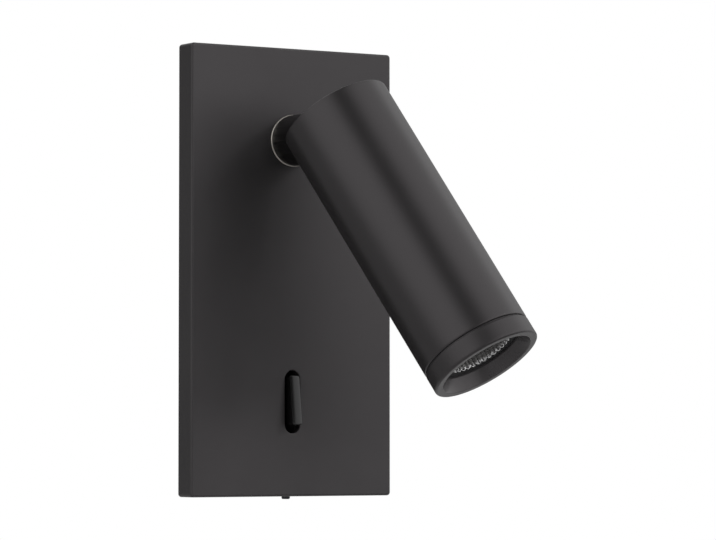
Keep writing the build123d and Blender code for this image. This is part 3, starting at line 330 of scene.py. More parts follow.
# %% Turn an outline, or carry it straight
def turned(name, outline, segments, place=Matrix.Identity(4), closed=True):
    """A turned piece: the point (r cos a, r sin a, z) for each (r, z) of the outline and each angle a."""
    radius, height = outline[:, :1], outline[:, 1:]
    angle = np.linspace(0, 2 * pi, segments, endpoint=False)[None, :]
    points = np.stack(np.broadcast_arrays(radius * np.cos(angle), radius * np.sin(angle), height), -1)
    mesh = grid_mesh(name, points, closed=(closed, True))
    mesh.transform(place)
    finish_mesh(mesh)
    return mesh


def close_ends(mesh):
    """Fills each open end of a mesh with one face."""
    work = bmesh.new()
    work.from_mesh(mesh)
    bmesh.ops.holes_fill(work, edges=work.edges, sides=0)
    work.to_mesh(mesh)
    work.free()


def prism(name, outline, thickness):
    """A prism about X: the outline in (y, z), half the thickness to either side, with its ends closed."""
    rings = [np.column_stack([np.full(len(outline), x), outline]) for x in (-thickness / 2, thickness / 2)]
    mesh = grid_mesh(name, np.stack(rings), closed=(False, True))
    close_ends(mesh)
    finish_mesh(mesh)
    return mesh


# %% Put a piece in the scene
def piece(name, mesh, body, slot, *nodes, finish=None, edge=0.0):
    """An object for that mesh, which rides on a body and stands for the construction's nodes.

    edge is the width of a small bevel on its sharp edges."""
    mesh.materials.clear()
    mesh.materials.append(FINISHES[finish or slot])
    made = bpy.data.objects.new(name, mesh)
    bpy.context.scene.collection.objects.link(made)
    if edge:
        bevel = made.modifiers.new("broken edges", "BEVEL")
        bevel.width = edge
        bevel.segments = 3
        bevel.limit_method = "ANGLE"
        bevel.angle_limit = SMOOTH_ANGLE
    weighted = made.modifiers.new("shading by face area", "WEIGHTED_NORMAL")
    weighted.keep_sharp = True
    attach(made, body)
    if nodes:
        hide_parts(*nodes)
    return made


# %% Copy a construction node, and cut a mesh
MERGE_COPY = 1e-6  # metres, for the construction model's coarser meshes


def smooth_copy(node, slot, finish=None):
    """A copy of a construction node with its loose triangles merged, so that its curves shade smoothly."""
    mesh = frame["nodes"][node].data.copy()
    mesh.name = node + "_smooth"
    work = bmesh.new()
    work.from_mesh(mesh)
    bmesh.ops.remove_doubles(work, verts=work.verts, dist=MERGE_COPY)
    bmesh.ops.recalc_face_normals(work, faces=work.faces)
    work.to_mesh(mesh)
    work.free()
    mesh.polygons.foreach_set("use_smooth", np.ones(len(mesh.polygons), bool))
    mesh.set_sharp_from_angle(angle=SMOOTH_ANGLE)
    return piece(node + "_smooth", mesh, frame["nodes"][node]["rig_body"], slot, node, finish=finish)


def cut(mesh, cutter):
    """The mesh with the cutter's room taken out of it."""
    whole = bpy.data.objects.new("whole", mesh)
    tool = bpy.data.objects.new("tool", cutter)
    for made in (whole, tool):
        bpy.context.scene.collection.objects.link(made)
    carve = whole.modifiers.new("carve", "BOOLEAN")
    carve.operation = "DIFFERENCE"
    carve.solver = "EXACT"
    carve.object = tool
    seen = whole.evaluated_get(bpy.context.evaluated_depsgraph_get())
    carved = bpy.data.meshes.new_from_object(seen)
    for made in (whole, tool):
        bpy.data.objects.remove(made)
    return carved


# %% [markdown]
# ## The floor
#
# A pale sheet well below the light, which takes the object's shadow and is out of the picture in the
# camera's view. It is plain diffuse white like seamless paper, and it glows for the camera alone, so
# that it comes close to the white backdrop. To glossy rays alone it is painted: darker all over, a
# painted shade that the paint mirrors, darkest in front to the right, and lighter behind to the right,
# a painted light. From below it is clear, so that the light can also be looked at from there.

# %% Lay the floor
FLOOR_Z = -0.35
FLOOR_HALF = 6.0
PAPER_SHADE = 0.6  # share of light that the paper gives back
# Painted shade and light on the paper, seen only by glossy rays: darker all over, darker still in front to
# the right, lighter behind to the right.
PAPER_SHADED_IN_GLOSS = 0.42  # the same as the paint mirrors it
PAPER_FRONT_PAINTED_SHADE = -0.34  # added to that in front to the right
PAPER_REAR_PAINTED_LIGHT = 0.25  # and behind to the right
PAPER_REAR_AZIMUTH = 127
PAPER_SOFT = (0.5, 0.9)  # shares along those directions where the change begins, and where it is full
PAPER_GLOW = 0.55  # lifts the paper to white for the camera

floor_mesh = bpy.data.meshes.new("floor")
edge = FLOOR_HALF * np.array([(-1, -1), (1, -1), (1, 1), (-1, 1)])
floor_mesh.from_pydata(np.column_stack([edge, np.full(4, FLOOR_Z)]), [], [(0, 1, 2, 3)])
floor = bpy.data.objects.new("floor", floor_mesh)
bpy.context.scene.collection.objects.link(floor)
paper = bpy.data.materials.new("seamless paper")
paper.use_nodes = True
tree = paper.node_tree
shader = tree.nodes["Principled BSDF"]
rays = add(tree, "ShaderNodeLightPath")
outward = add(tree, "ShaderNodeVectorMath", operation="NORMALIZE")
tree.links.new(add(tree, "ShaderNodeTexCoord").outputs["Object"], outward.inputs[0])
outward = outward.outputs[0]
front = ramp(tree, along(tree, outward, direction(TABLE_AZIMUTH, 0)), *PAPER_SOFT, 0.0, PAPER_FRONT_PAINTED_SHADE)
rear = ramp(tree, along(tree, outward, direction(PAPER_REAR_AZIMUTH, 0)), *PAPER_SOFT, 0.0, PAPER_REAR_PAINTED_LIGHT)
painted_in_gloss = maths(tree, "ADD", maths(tree, "ADD", front, rear), PAPER_SHADED_IN_GLOSS - PAPER_SHADE)
shade = maths(tree, "MULTIPLY_ADD", rays.outputs["Is Glossy Ray"], painted_in_gloss, PAPER_SHADE)
for name in ("Emission Color", "Specular Tint"):
    shader.inputs[name].default_value = (1, 1, 1, 1)
tree.links.new(shade, shader.inputs["Base Color"])
shader.inputs["Roughness"].default_value = 1.0
shader.inputs["Specular IOR Level"].default_value = 0.0
glow = maths(tree, "MULTIPLY", rays.outputs["Is Camera Ray"], PAPER_GLOW)
tree.links.new(glow, shader.inputs["Emission Strength"])
under_side = add(tree, "ShaderNodeMixShader")
tree.links.new(add(tree, "ShaderNodeNewGeometry").outputs["Backfacing"], under_side.inputs[0])
tree.links.new(shader.outputs[0], under_side.inputs[1])
tree.links.new(add(tree, "ShaderNodeBsdfTransparent").outputs[0], under_side.inputs[2])
tree.links.new(under_side.outputs[0], tree.nodes["Material Output"].inputs["Surface"])
floor_mesh.materials.append(paper)
print("floor:", 2 * FLOOR_HALF, "m wide, at", FLOOR_Z, "m")

# %% [markdown]
# ## Finishes
#
# Each finish is a Principled shader whose roughness, colour and bump vary over the surface. The patterns
# that several finishes share are node groups: the grain of a sprayed or moulded surface, and the fine
# rings that a lathe tool leaves. They read the object's own coordinates in metres, so a scale of 2500
# is a grain of 0.4 mm.

# %% Pattern groups
def new_group(name, inputs, outputs):
    """An empty node group with float or vector sockets of those names."""
    group = bpy.data.node_groups.new(name, "ShaderNodeTree")
    for socket, default in inputs.items():
        kind = "NodeSocketVector" if default is None else "NodeSocketFloat"
        made = group.interface.new_socket(socket, in_out="INPUT", socket_type=kind)
        if default is not None:
            made.default_value = default
    for socket in outputs:
        group.interface.new_socket(socket, in_out="OUTPUT", socket_type="NodeSocketFloat")
    return group, add(group, "NodeGroupInput"), add(group, "NodeGroupOutput")


def noise(tree, vector, scale, detail=3.0, roughness=0.55):
    """A Noise Texture's value, with a mean of about a half."""
    node = add(tree, "ShaderNodeTexNoise")
    tree.links.new(vector, node.inputs["Vector"])
    for name, value in (("Scale", scale), ("Detail", detail), ("Roughness", roughness)):
        if isinstance(value, bpy.types.NodeSocket):
            tree.links.new(value, node.inputs[name])
        else:
            node.inputs[name].default_value = value
    return node.outputs[0]


def centred(tree, value):
    """The value less a half, so that it varies about nothing."""
    return maths(tree, "SUBTRACT", value, 0.5)


# Grain: a fine noise for the bump, and a broad one that shifts the roughness in soft patches.
PATCH_SCALE = 45.0  # patches of 22 mm
FINE_SHARE = 0.4  # how much the fine noise counts in the roughness, beside the broad one
GRAIN_INPUTS = {"Vector": None, "Grain": 2500.0, "Patch": PATCH_SCALE, "Roughness": 0.4, "Spread": 0.1}
GRAIN, start, end = new_group("grain", GRAIN_INPUTS, ("Roughness", "Height", "Patch"))
fine = noise(GRAIN, start.outputs["Vector"], start.outputs["Grain"])
broad = noise(GRAIN, start.outputs["Vector"], start.outputs["Patch"], detail=4.0)
swing = maths(GRAIN, "MULTIPLY_ADD", centred(GRAIN, fine), FINE_SHARE, centred(GRAIN, broad))
level = maths(GRAIN, "MULTIPLY_ADD", swing, start.outputs["Spread"], start.outputs["Roughness"])
GRAIN.links.new(level, end.inputs["Roughness"])
GRAIN.links.new(fine, end.inputs["Height"])
GRAIN.links.new(broad, end.inputs["Patch"])

# Rings: a noise stretched along the axis's circles, so it changes along Z and hardly round it.
RING_SCALE = 4000.0  # rings of a quarter of a millimetre
RING_TURN = 0.0002  # how far the noise is crossed in a turn of one radian, in metres
RING_INPUTS = {"Vector": None, "Rings": RING_SCALE, "Roughness": 0.3, "Spread": 0.1}
RINGS, start, end = new_group("rings", RING_INPUTS, ("Roughness", "Height"))
apart = add(RINGS, "ShaderNodeSeparateXYZ")
RINGS.links.new(start.outputs["Vector"], apart.inputs[0])
reach = maths(RINGS, "POWER", apart.outputs["X"], 2.0)
reach = maths(RINGS, "ADD", reach, maths(RINGS, "POWER", apart.outputs["Y"], 2.0))
reach = maths(RINGS, "SQRT", reach)
turn = maths(RINGS, "ARCTAN2", apart.outputs["Y"], apart.outputs["X"])
turn = maths(RINGS, "MULTIPLY", turn, RING_TURN)
spun = add(RINGS, "ShaderNodeCombineXYZ")
for socket, value in zip(spun.inputs, (reach, turn, apart.outputs["Z"])):
    RINGS.links.new(value, socket)
lines = noise(RINGS, spun.outputs[0], start.outputs["Rings"], detail=4.0, roughness=0.7)
swing = centred(RINGS, lines)
level = maths(RINGS, "MULTIPLY_ADD", swing, start.outputs["Spread"], start.outputs["Roughness"])
RINGS.links.new(level, end.inputs["Roughness"])
RINGS.links.new(lines, end.inputs["Height"])
print("pattern groups:", GRAIN.name, RINGS.name)


# %% Bumps and lathe rings
RING_DEPTH = 0.00001  # metres


def raised(tree, height, depth, below=None):
    """The normal of a Bump node: a height, that many metres deep, on top of another normal."""
    node = add(tree, "ShaderNodeBump")
    node.inputs["Distance"].default_value = depth
    tree.links.new(height, node.inputs["Height"])
    if below is not None:
        tree.links.new(below, node.inputs["Normal"])
    return node.outputs[0]


def lathe_rings(tree, place, axis, spread, rough, normal):
    """The roughness and the normal with a lathe's rings added, about the Z axis of the matrix."""
    turned_way = add(tree, "ShaderNodeMapping", vector_type="TEXTURE")
    turned_way.inputs["Location"].default_value = axis.to_translation()
    turned_way.inputs["Rotation"].default_value = axis.to_euler()
    tree.links.new(place, turned_way.inputs["Vector"])
    ringed = add(tree, "ShaderNodeGroup", node_tree=RINGS)
    tree.links.new(turned_way.outputs[0], ringed.inputs["Vector"])
    ringed.inputs["Rings"].default_value = RING_SCALE
    ringed.inputs["Spread"].default_value = spread
    tree.links.new(rough, ringed.inputs["Roughness"])
    return ringed.outputs["Roughness"], raised(tree, ringed.outputs["Height"], RING_DEPTH, normal)


# %% A finish from its values
SHADE = 0.15  # share by which the colour varies in the broad patches
COAT_ROUGHNESS = 0.1


def finish(
    name, colour, roughness, metallic=0.0, ior=1.5, spread=0.1, grain=2500.0, bump=0.00001,
    axis=None, coat=0.0, sheen=(1, 1, 1),
):
    """A material: its colour varies in broad patches, and its roughness by the spread.

    bump is the depth of the grain in metres, and sheen tints the reflections. axis is the matrix of a
    turned piece's frame; with it the lathe's rings are added."""
    made = bpy.data.materials.new(name)
    made.use_nodes = True
    tree = made.node_tree
    shader = tree.nodes["Principled BSDF"]
    place = add(tree, "ShaderNodeTexCoord").outputs["Object"]
    grained = add(tree, "ShaderNodeGroup", node_tree=GRAIN)
    tree.links.new(place, grained.inputs["Vector"])
    values = {"Grain": grain, "Patch": PATCH_SCALE, "Roughness": roughness, "Spread": spread}
    for socket, value in values.items():
        grained.inputs[socket].default_value = value
    tint = add(tree, "ShaderNodeMix", data_type="RGBA")
    tree.links.new(grained.outputs["Patch"], tint.inputs["Factor"])
    tint.inputs["A"].default_value = (*(c * (1 - SHADE) for c in colour), 1)
    tint.inputs["B"].default_value = (*(min(1, c * (1 + SHADE)) for c in colour), 1)
    tree.links.new(tint.outputs["Result"], shader.inputs["Base Color"])
    rough = grained.outputs["Roughness"]
    normal = raised(tree, grained.outputs["Height"], bump)
    if axis is not None:
        rough, normal = lathe_rings(tree, place, axis, spread, rough, normal)
    tree.links.new(rough, shader.inputs["Roughness"])
    tree.links.new(normal, shader.inputs["Normal"])
    shader.inputs["Metallic"].default_value = metallic
    shader.inputs["IOR"].default_value = ior
    shader.inputs["Specular Tint"].default_value = (*sheen, 1)
    shader.inputs["Coat Weight"].default_value = coat
    shader.inputs["Coat Roughness"].default_value = COAT_ROUGHNESS
    return made


# %% [markdown]
# ## The finishes of this light
#
# The outside is a satin black sprayed paint with a fine grain. It doesn't look quite the same on the
# plate, the stub, the bezel and the cone inside it, so each of them has a mix of its own: the bezel's is
# rougher, the plate's and the cone's are lighter copies of the paint, a painted light, and the stub's is a
# darker copy, a painted shade. The rocker is a glossier plastic. Behind them are plain workshop finishes:
# zinc-plated sheet steel, nickel, brass, turned aluminium, moulded plastic and rubber. The reflector is
# plastic with a metal film, which is painted dim in the dish, a painted shade, and bright at the lip.

# %% Mix the finishes
PAINT = (0.0128, 0.0119, 0.0123)
# The plate's and the cone's copies of the black paint are lighter, a painted light; the stub's is darker, a
# painted shade.
PLATE_PAINT_LIT = (0.0255, 0.0241, 0.0248)
CONE_PAINT_LIT = (0.033, 0.0312, 0.0321)
STUB_PAINT_SHADED = (0.004, 0.0037, 0.0038)
PAINT_SHEEN = (1.0, 0.945, 0.972)  # the warm cast of the paint's reflections
SPRAYED = dict(spread=0.05, bump=0.000004, sheen=PAINT_SHEEN)
IN_CONE = dict(spread=0.06, bump=0.000006, sheen=PAINT_SHEEN)
IN_DISH = dict(metallic=1.0, spread=0.12, grain=1800)
ROCKER_SKIN = dict(spread=0.06, grain=4000, bump=0.000002)
FINISHES = {
    "black_paint": finish("satin black paint", PAINT, 0.34, ior=1.6, **SPRAYED),
    "plate_paint_lit": finish("satin black paint on the plate", PLATE_PAINT_LIT, 0.36, ior=1.49, **SPRAYED),
    "cone_paint_lit": finish("satin black paint in the cone", CONE_PAINT_LIT, 0.28, ior=1.55, **IN_CONE),
    # The dish's film is painted dim: a painted shade for the dark inside of the head that it mirrors.
    "shaded_film": finish("silvered film in the dish", (0.22, 0.216, 0.212), 0.26, **IN_DISH),
    "stub_paint_shaded": finish("satin black paint on the stub", STUB_PAINT_SHADED, 0.3, ior=1.5, **SPRAYED),
    "bezel_paint": finish("satin black paint on the bezel", PAINT, 0.4, ior=1.6, **SPRAYED),
    "black_gloss": finish("rocker plastic", (0.003, 0.003, 0.003), 0.24, **ROCKER_SKIN),
    "black_plastic": finish("moulded black plastic", (0.018, 0.018, 0.019), 0.55, spread=0.12, grain=5000),
    "black_steel": finish("blackened steel", (0.06, 0.06, 0.065), 0.4, metallic=1.0, spread=0.15),
    "zinc_steel": finish("zinc-plated steel", (0.6, 0.61, 0.63), 0.36, metallic=1.0, spread=0.16, grain=900),
    "nickel": finish("satin nickel", (0.6, 0.57, 0.52), 0.3, metallic=1.0, axis=to_ring),
    "brass": finish("turned brass", (0.76, 0.56, 0.27), 0.32, metallic=1.0),
    "aluminium": finish("turned aluminium", (0.77, 0.78, 0.79), 0.34, metallic=1.0, axis=to_head),
    "silvered": finish("silvered film", (0.9, 0.9, 0.9), 0.12, metallic=1.0, spread=0.05, bump=0.000001),
    "pale_plastic": finish("pale moulded plastic", (0.74, 0.73, 0.69), 0.5, spread=0.12, grain=5000),
    "grey_rubber": finish("grey rubber", (0.16, 0.16, 0.17), 0.8, spread=0.1, grain=6000),
    "phosphor": finish("phosphor", (0.82, 0.6, 0.1), 0.45, spread=0.1, grain=9000, coat=0.6),
}
print(len(FINISHES), "finishes")

# %% [markdown]
# ## The head
#
# The shell is a drawn tube with a closed rear end, so it is a turned surface. A slot is cut in it where
# the stub's tongue swings. The bezel is a second turned ring with a narrow shadow groove behind it, and
# inside it the cone narrows to a shelf. Lengths are in millimetres along the head from its pivot.

# %% Helpers for the head
MM = 0.001


def second_finish(made, name, place, chosen):
    """Another finish for the faces that pass a test of their centre's radius and distance to the lens.

    Both are in millimetres, in the frame of the matrix place."""
    mesh = made.data
    mesh.materials.append(FINISHES[name])
    centre = np.empty(3 * len(mesh.polygons))
    mesh.polygons.foreach_get("center", centre)
    centre = np.column_stack([centre.reshape(-1, 3), np.ones(len(mesh.polygons))])
    local = centre @ np.array(place.inverted()).T / MM
    index = chosen(np.hypot(local[:, 0], local[:, 1]), -local[:, 2]).astype(np.int32)
    mesh.polygons.foreach_set("material_index", index)
    print(name, "on", int(index.sum()), "faces of", made.name)


def outline_mm(*corners, closed=True):
    """A rounded outline from (radius, distance towards the lens, corner radius) in millimetres, in metres."""
    rows = np.array(corners, float) * MM
    rows[:, 1] *= -1
    return rounded(rows, closed=closed)


# %% Turn the shell
HEAD_R = 20.0
HEAD_REAR = -8.6
HEAD_FRONT = 98.1
SHELL_BORE = 18.4
SHELL_FLOOR = -5.6  # the inside of the closed rear end
SHELL_END = 90.6
SLOT_REACH = 6.4
SLOT_HALF = 4.7
SLOT_FAR = 40.0  # well outside the head

# The points without a radius beside the rounded edges keep the shading of the long faces flat.
shell_outline = outline_mm(
    (0, HEAD_REAR, 0), (HEAD_R - 1.2, HEAD_REAR, 0), (HEAD_R, HEAD_REAR, 0.4), (HEAD_R, -7.2, 0),
    (HEAD_R, SHELL_END - 1, 0), (HEAD_R, SHELL_END, 0.5), (SHELL_BORE, SHELL_END, 0.1),
    (SHELL_BORE, SHELL_FLOOR, 0.4), (0, SHELL_FLOOR, 0), closed=False,
)
shell_mesh = turned("head_shell", shell_outline, segments=256)
slot_corners = np.array([
    (-SLOT_REACH, -SLOT_REACH, SLOT_REACH), (SLOT_FAR, -SLOT_REACH, 0),
    (SLOT_FAR, SLOT_FAR, 0), (-SLOT_REACH, SLOT_FAR, 0),
])
slot_room = prism("slot_room", rounded(slot_corners * MM, steps=24), 2 * SLOT_HALF * MM)
shell_mesh = cut(shell_mesh, slot_room)
shell_mesh.transform(to_head)
finish_mesh(shell_mesh)
piece("shell", shell_mesh, "head", "black_paint", "head_shell")
print("shell:", len(shell_mesh.polygons), "faces")

# %% Turn the bezel
MOUTH_EDGE_R = 17.2
GROOVE_R = 19.4
BEZEL_AT = 91.1  # where the groove ends and the bezel begins
SPIGOT_R, SPIGOT_BORE, SPIGOT_AT = 18.3, 16.5, 83.6
SHELF_R, SHELF_AT, CONE_AT = 15.1, 92.7, 93.5

bezel_outline = outline_mm(
    (MOUTH_EDGE_R, HEAD_FRONT - 0.1, 0.25), (HEAD_R, HEAD_FRONT, 0.8), (HEAD_R, 96.6, 0),
    (HEAD_R, BEZEL_AT, 0.45), (GROOVE_R, BEZEL_AT, 0.05), (GROOVE_R, SHELL_END, 0.05),
    (SPIGOT_R, SHELL_END, 0.05), (SPIGOT_R, SPIGOT_AT, 0.2), (SPIGOT_BORE, SPIGOT_AT, 0.2),
    (SPIGOT_BORE, SHELF_AT, 0.05), (SHELF_R, SHELF_AT, 0.05), (SHELF_R, CONE_AT, 0.1),
)


def in_cone(radius, depth):
    """The cone and the shelf at its end: inside the mouth's edge, and in front of the groove."""
    return (radius < MOUTH_EDGE_R + 0.05) & (depth > BEZEL_AT)


bezel_mesh = turned("bezel_ring", bezel_outline, segments=256, place=to_head)
bezel = piece("bezel_ring", bezel_mesh, "head", "black_paint", "bezel", finish="bezel_paint")
# The cone and its shelf get the lighter copy of the paint, a painted light.
second_finish(bezel, "cone_paint_lit", to_head, in_cone)
print("bezel:", len(bezel_mesh.polygons), "faces")

# %% [markdown]
# ## The reflector
#
# The reflector is moulded with flutes that run from its throat to its mouth, and has a metal film. Its
# inside is a paraboloid: the square of its radius grows evenly with its depth. Each flute is a shallow
# hollow across, so the wall is a row of arcs that meet in fine ridges. At the mouth the ridges stand back
# a little, so the lip is scalloped. The dish gets a painted shade: a dimmer film than real metal has,
# standing in for the dark inside of the head that the real one mirrors. Only the lip and a tooth in each
# hollow get the bright film.

# %% Measures of the reflector
FLUTES = 36
FLUTE_STEPS = 12  # points across a flute
FLUTE_DEPTH = 0.3
FLUTE_RISE = 3  # the flutes begin at the throat and are full a third of the way up
LIP_R = 0.18
LIP_STEPS = 9
LIP_SCALLOP = 0.5  # how far the ridges stand back at the mouth
SCALLOP_RISE = 8  # the scallops begin in the last eighth
MOUTH_R, THROAT_R = 11.8, 4.8
MOUTH_AT = 92.7
REFLECTOR_L = 20.0
REFLECTOR_WALL = 0.9
WALL_THINS, WALL_AT_LIP = 12, 0.6  # the wall thins in the last twelfth, to 0.6 of itself
ROW_CROWDING = 1.5  # above 1, the rows stand closer together towards the mouth
# Outside the lip and the teeth the dish has the dimmed film, a painted shade.
BRIGHT_EDGE = 0.3  # how far the bright film reaches in from the lip on a ridge
TOOTH = 1.0  # and how much further in a hollow
# How fast the dish opens at its mouth: the change of the radius squared, over twice radius times length.
MOUTH_SLOPE = (MOUTH_R**2 - THROAT_R**2) / (2 * MOUTH_R * REFLECTOR_L)
print(f"reflector: {FLUTES} flutes, {2 * MOUTH_R} mm across the mouth")

# %% Shape the fluted reflector
def flute(angle):
    """How deep the hollow is at an angle, from 0 on a ridge to 1 in the middle of a flute: 1 - (2u - 1)^2."""
    share = np.mod(angle * FLUTES / (2 * pi), 1.0)
    return 1 - (2 * share - 1) ** 2


def reflector_points(rows=48, columns=FLUTES * FLUTE_STEPS):
    """The inside from throat to mouth, a scalloped lip, and the smooth outside back to the throat.

    With a share s of the way up, the radius is sqrt(throat^2 + (mouth^2 - throat^2) s), plus the flutes."""
    angle = np.linspace(0, 2 * pi, columns, endpoint=False)[None, :]
    share = 1 - (1 - np.linspace(0, 1, rows)[:, None]) ** ROW_CROWDING
    inside = np.sqrt(THROAT_R**2 + (MOUTH_R**2 - THROAT_R**2) * share)
    inner = inside + FLUTE_DEPTH * flute(angle) * np.clip(share * FLUTE_RISE, 0, 1)
    depth = MOUTH_AT - REFLECTOR_L * (1 - share) + 0 * angle
    depth = depth - LIP_SCALLOP * (1 - flute(angle)) * np.clip(1 - (1 - share) * SCALLOP_RISE, 0, 1)
    lip_turn = np.linspace(0, pi, LIP_STEPS)[1:-1, None]
    lip = inner[-1:] + LIP_R - LIP_R * np.cos(lip_turn)
    lip_depth = depth[-1:] + LIP_R * np.sin(lip_turn)
    wall = REFLECTOR_WALL * np.clip((1 - share) * WALL_THINS, WALL_AT_LIP, 1)
    outer = inside[::-1] + wall + 0 * angle
    radius = np.vstack([inner, lip, outer]) * MM
    height = -np.vstack([depth, lip_depth, depth[::-1]]) * MM
    return np.stack([radius * np.cos(angle), radius * np.sin(angle), height], -1)


def bright_edge(radius, depth):
    """The lip, and a tooth of bright film in each hollow: there the radius is more than on the ridges."""
    behind_lip = MOUTH_AT - depth
    hollow = radius - (MOUTH_R - MOUTH_SLOPE * behind_lip)
    return behind_lip < BRIGHT_EDGE + TOOTH * hollow / FLUTE_DEPTH


reflector_mesh = grid_mesh("fluted_reflector", reflector_points())
reflector_mesh.transform(to_head)
finish_mesh(reflector_mesh)
# The dish gets the dimmed film, a painted shade; the lip and a tooth in each hollow keep the bright film.
fluted = piece("fluted_reflector", reflector_mesh, "head", "silvered", "reflector", finish="shaded_film")
second_finish(fluted, "silvered", to_head, bright_edge)
print("reflector:", len(reflector_mesh.polygons), "faces")

# %% [markdown]
# ## The ring at the stub
#
# Between the plate and the stub is a thin pale washer. Only its rim shows, as one fine light line round
# the left of the stub. The rim is a step thinner than the seat of the stub, and its edge is rounded, so
# that it catches the light from the left.

# %% Turn the washer
WASHER_R, WASHER_BORE, WASHER_T = 9.3, 5.1, 1.0
WASHER_RIM_T, WASHER_STEP_R = 0.7, 8.4  # the rim is a step thinner than the seat of the stub
washer_corners = np.array([
    (WASHER_BORE, 0, 0.1), (WASHER_R, 0, 0.2), (WASHER_R, WASHER_RIM_T, 0.4),
    (WASHER_STEP_R, WASHER_RIM_T, 0.05), (WASHER_STEP_R, WASHER_T, 0.05), (WASHER_BORE, WASHER_T, 0.1),
])
washer_outline = rounded(washer_corners * MM, steps=10)
washer_mesh = turned("pale_washer", washer_outline, segments=160, place=to_ring)
washer = piece("pale_washer", washer_mesh, "base", "nickel", "swivel_washer")

# %% [markdown]
# ## The rocker
#
# The rocker is a narrow moulded paddle. Its face is arched from side to side, highest left of the middle,
# so that it turns from dark at its left to light at its right, and its ends are rounded. It is a stack of
# rings across the paddle: each ring is the arch and two sides, drawn in and set back near the ends by
# quarter circles. Behind it are a hub round the hinge pin and a leg that works the switch.

# %% Measures of the rocker
PADDLE_W = 4.2
PADDLE_L = 17.7
PADDLE_FACE = 7.75  # from the hinge pin to the top of the arch
PADDLE_CROWN = 0.29  # how much lower the arch is, one half width from its crest
PADDLE_CREST = -0.45  # where the arch is highest, as a share of the half width
PADDLE_CORNER_R = 0.8
PADDLE_END_R = 0.35
PADDLE_SKIRT = 4.8  # how far the sides reach back at the ends
PADDLE_WAIST = 1.0  # half the length in the middle over which they reach back past the hinge pin
PADDLE_EDGE = 0.22
HUB_R, HUB_W = 2.6, 5.4
LEG_L, LEG_W, LEG_END_R = 4.6, 3.6, 1.2

rocker_joint = joints["rocker_switch"]
tipped = radians(-rocker_joint["range_deg"][1] / 2)
to_rocker = Matrix.Translation(Vector(rocker_joint["pos_m"])) @ Matrix.Rotation(tipped, 4, "X")
print(f"rocker: tipped {degrees(tipped):.1f} degrees")


# %% Shape the rocker
def quarter(inward, radius):
    """How far a rounded edge lies back at a distance inward from its end: r - sqrt(r^2 - (r - d)^2)."""
    left = radius - np.minimum(inward, radius)
    return radius - np.sqrt(radius**2 - left**2)


def paddle_points(rows=56, columns=25):
    """Rings of the arch x = w u, y = -face + crown (u - crest)^2, with u from -1 to 1, and its two sides."""
    along_it = PADDLE_L / 2 * np.sin(np.linspace(-pi / 2, pi / 2, rows))[:, None]
    inward = PADDLE_L / 2 - np.abs(along_it)
    half = PADDLE_W / 2 - quarter(inward, PADDLE_CORNER_R)
    front = -PADDLE_FACE + quarter(inward, PADDLE_END_R)
    across = np.linspace(-1, 1, columns)[None, :]
    share = np.clip((np.abs(along_it) - PADDLE_WAIST) / (PADDLE_L / 2 - PADDLE_WAIST), 0, 1)
    back = HUB_R + (PADDLE_SKIRT - PADDLE_FACE - HUB_R) * share
    x = np.hstack([-half, half * across, half])
    y = np.hstack([back, front + PADDLE_CROWN * (across - PADDLE_CREST) ** 2, back])
    return np.stack(np.broadcast_arrays(x, y, along_it), -1) * MM


paddle_mesh = grid_mesh("rocker_paddle", paddle_points(), closed=(False, True))
close_ends(paddle_mesh)
work = bmesh.new()
work.from_mesh(paddle_mesh)
hub_side = rounded(np.array([(HUB_R, 0, 0), (HUB_R, HUB_W / 2, 0.1), (0, HUB_W / 2, 0)]) * MM, closed=False)
hub_outline = np.vstack([hub_side[::-1], hub_side * (1, -1)])
work.from_mesh(turned("hub", hub_outline, segments=48, place=Matrix.Rotation(pi / 2, 4, "Y"), closed=False))
leg_corners = np.array([
    (0, -HUB_R, 0.1), (LEG_L, -HUB_R, LEG_END_R), (LEG_L, HUB_R, LEG_END_R), (0, HUB_R, 0.1),
])
work.from_mesh(prism("leg", rounded(leg_corners * MM), LEG_W * MM))
work.to_mesh(paddle_mesh)
work.free()
paddle_mesh.transform(to_rocker)
finish_mesh(paddle_mesh)
piece("rocker_paddle", paddle_mesh, "rocker", "black_gloss", "rocker", edge=PADDLE_EDGE * MM)

# %% [markdown]
# ## Everything else from the construction model
#
# The pieces whose shapes are already right are copied with their loose triangles merged. Then their
# curved faces shade smoothly, and each gets its finish.

# %% Copy the rest
KEPT = {
    "front_plate": "black_paint", "wall_bracket": "zinc_steel", "set_screw": "black_steel",
    "driver_case": "black_plastic", "driver_screws": "zinc_steel", "terminal_block": "pale_plastic",
    "terminal_screws": "zinc_steel", "earth_screw": "brass", "swivel_bush": "brass",
    "stop_pin": "zinc_steel", "switch_housing": "black_plastic", "switch_terminals": "brass",
    "switch_screws": "zinc_steel", "rocker_pin": "zinc_steel",
    "swivel_stub": "black_paint", "stop_washer": "zinc_steel", "lock_washer": "zinc_steel",
    "swivel_nut": "brass", "pivot_block": "aluminium", "pivot_screw": "black_steel",
    "disc_spring": "zinc_steel", "pivot_nut": "zinc_steel", "friction_washers": "pale_plastic",
    "tie_rods": "zinc_steel", "heat_sink": "aluminium", "thermal_pad": "grey_rubber",
    "led_board": "pale_plastic", "led_emitter": "phosphor", "led_holder": "pale_plastic",
    "holder_screws": "zinc_steel", "reflector_ring": "black_plastic",
}
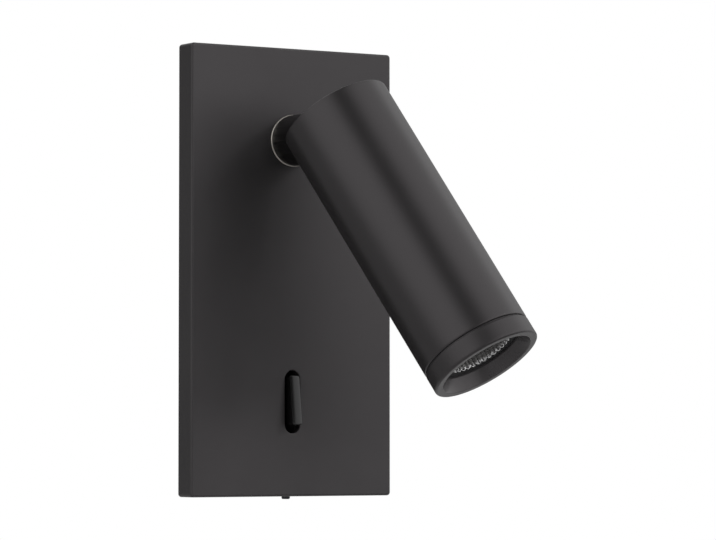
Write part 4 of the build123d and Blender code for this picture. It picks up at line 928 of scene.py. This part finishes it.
# The plate gets the lighter copy of the paint, a painted light, and the stub the darker one, a painted shade.
OTHER_FINISH = {"front_plate": "plate_paint_lit", "swivel_stub": "stub_paint_shaded"}
for node, slot in KEPT.items():
    smooth_copy(node, slot, finish=OTHER_FINISH.get(node))
print(len(KEPT), "pieces copied")

# %% [markdown]
# Two of the copies are a fraction of a millimetre off the photograph: the slot's round lower end is a
# little higher there, and the stub's barrel a little wider. Their points are moved, and nothing else.

# %% Move the points of two copies
SLOT_SHORTER = 0.65
SLOT_END = (7.5, 12.5)  # the slot's lower end lies between these distances below the rocker's hinge
SLOT_AREA_HALF = 3.5  # a little more than half the slot's width
FACE_BACK = 6.9  # the points of the plate's face are further out from the wall than this
BARREL_FROM = 8.0  # radius beyond which the stub's points are its barrel's
BARREL_IN_CAD, BARREL_R = 8.75, 9.1


def reshape(name, change):
    """Puts a copy's points where the change says, which takes and gives rows of x, y and z."""
    mesh = bpy.data.objects[name].data
    spots = np.empty(3 * len(mesh.vertices))
    mesh.vertices.foreach_get("co", spots)
    spots = change(spots.reshape(-1, 3))
    mesh.vertices.foreach_set("co", spots.ravel())
    mesh.update()


def raise_slot_end(spots):
    """The half circle at the slot's lower end, moved up."""
    below = (rocker_joint["pos_m"][2] - spots[:, 2]) / MM
    chosen = (np.abs(spots[:, 0]) < SLOT_AREA_HALF * MM) & (spots[:, 1] < -FACE_BACK * MM)
    chosen &= (below > SLOT_END[0]) & (below < SLOT_END[1])
    spots[chosen, 2] += SLOT_SHORTER * MM
    print("slot end:", int(chosen.sum()), "points")
    return spots


def widen_barrel(spots):
    """The barrel's points, moved out from the swivel's axis in proportion."""
    centre = np.array([swivel_point.x, swivel_point.z])
    out = spots[:, [0, 2]] - centre
    chosen = np.hypot(out[:, 0], out[:, 1]) > BARREL_FROM * MM
    spots[:, [0, 2]] = centre + out * np.where(chosen, BARREL_R / BARREL_IN_CAD, 1.0)[:, None]
    print("barrel:", int(chosen.sum()), "points of", len(spots))
    return spots


reshape("front_plate_smooth", raise_slot_end)
reshape("swivel_stub_smooth", widen_barrel)
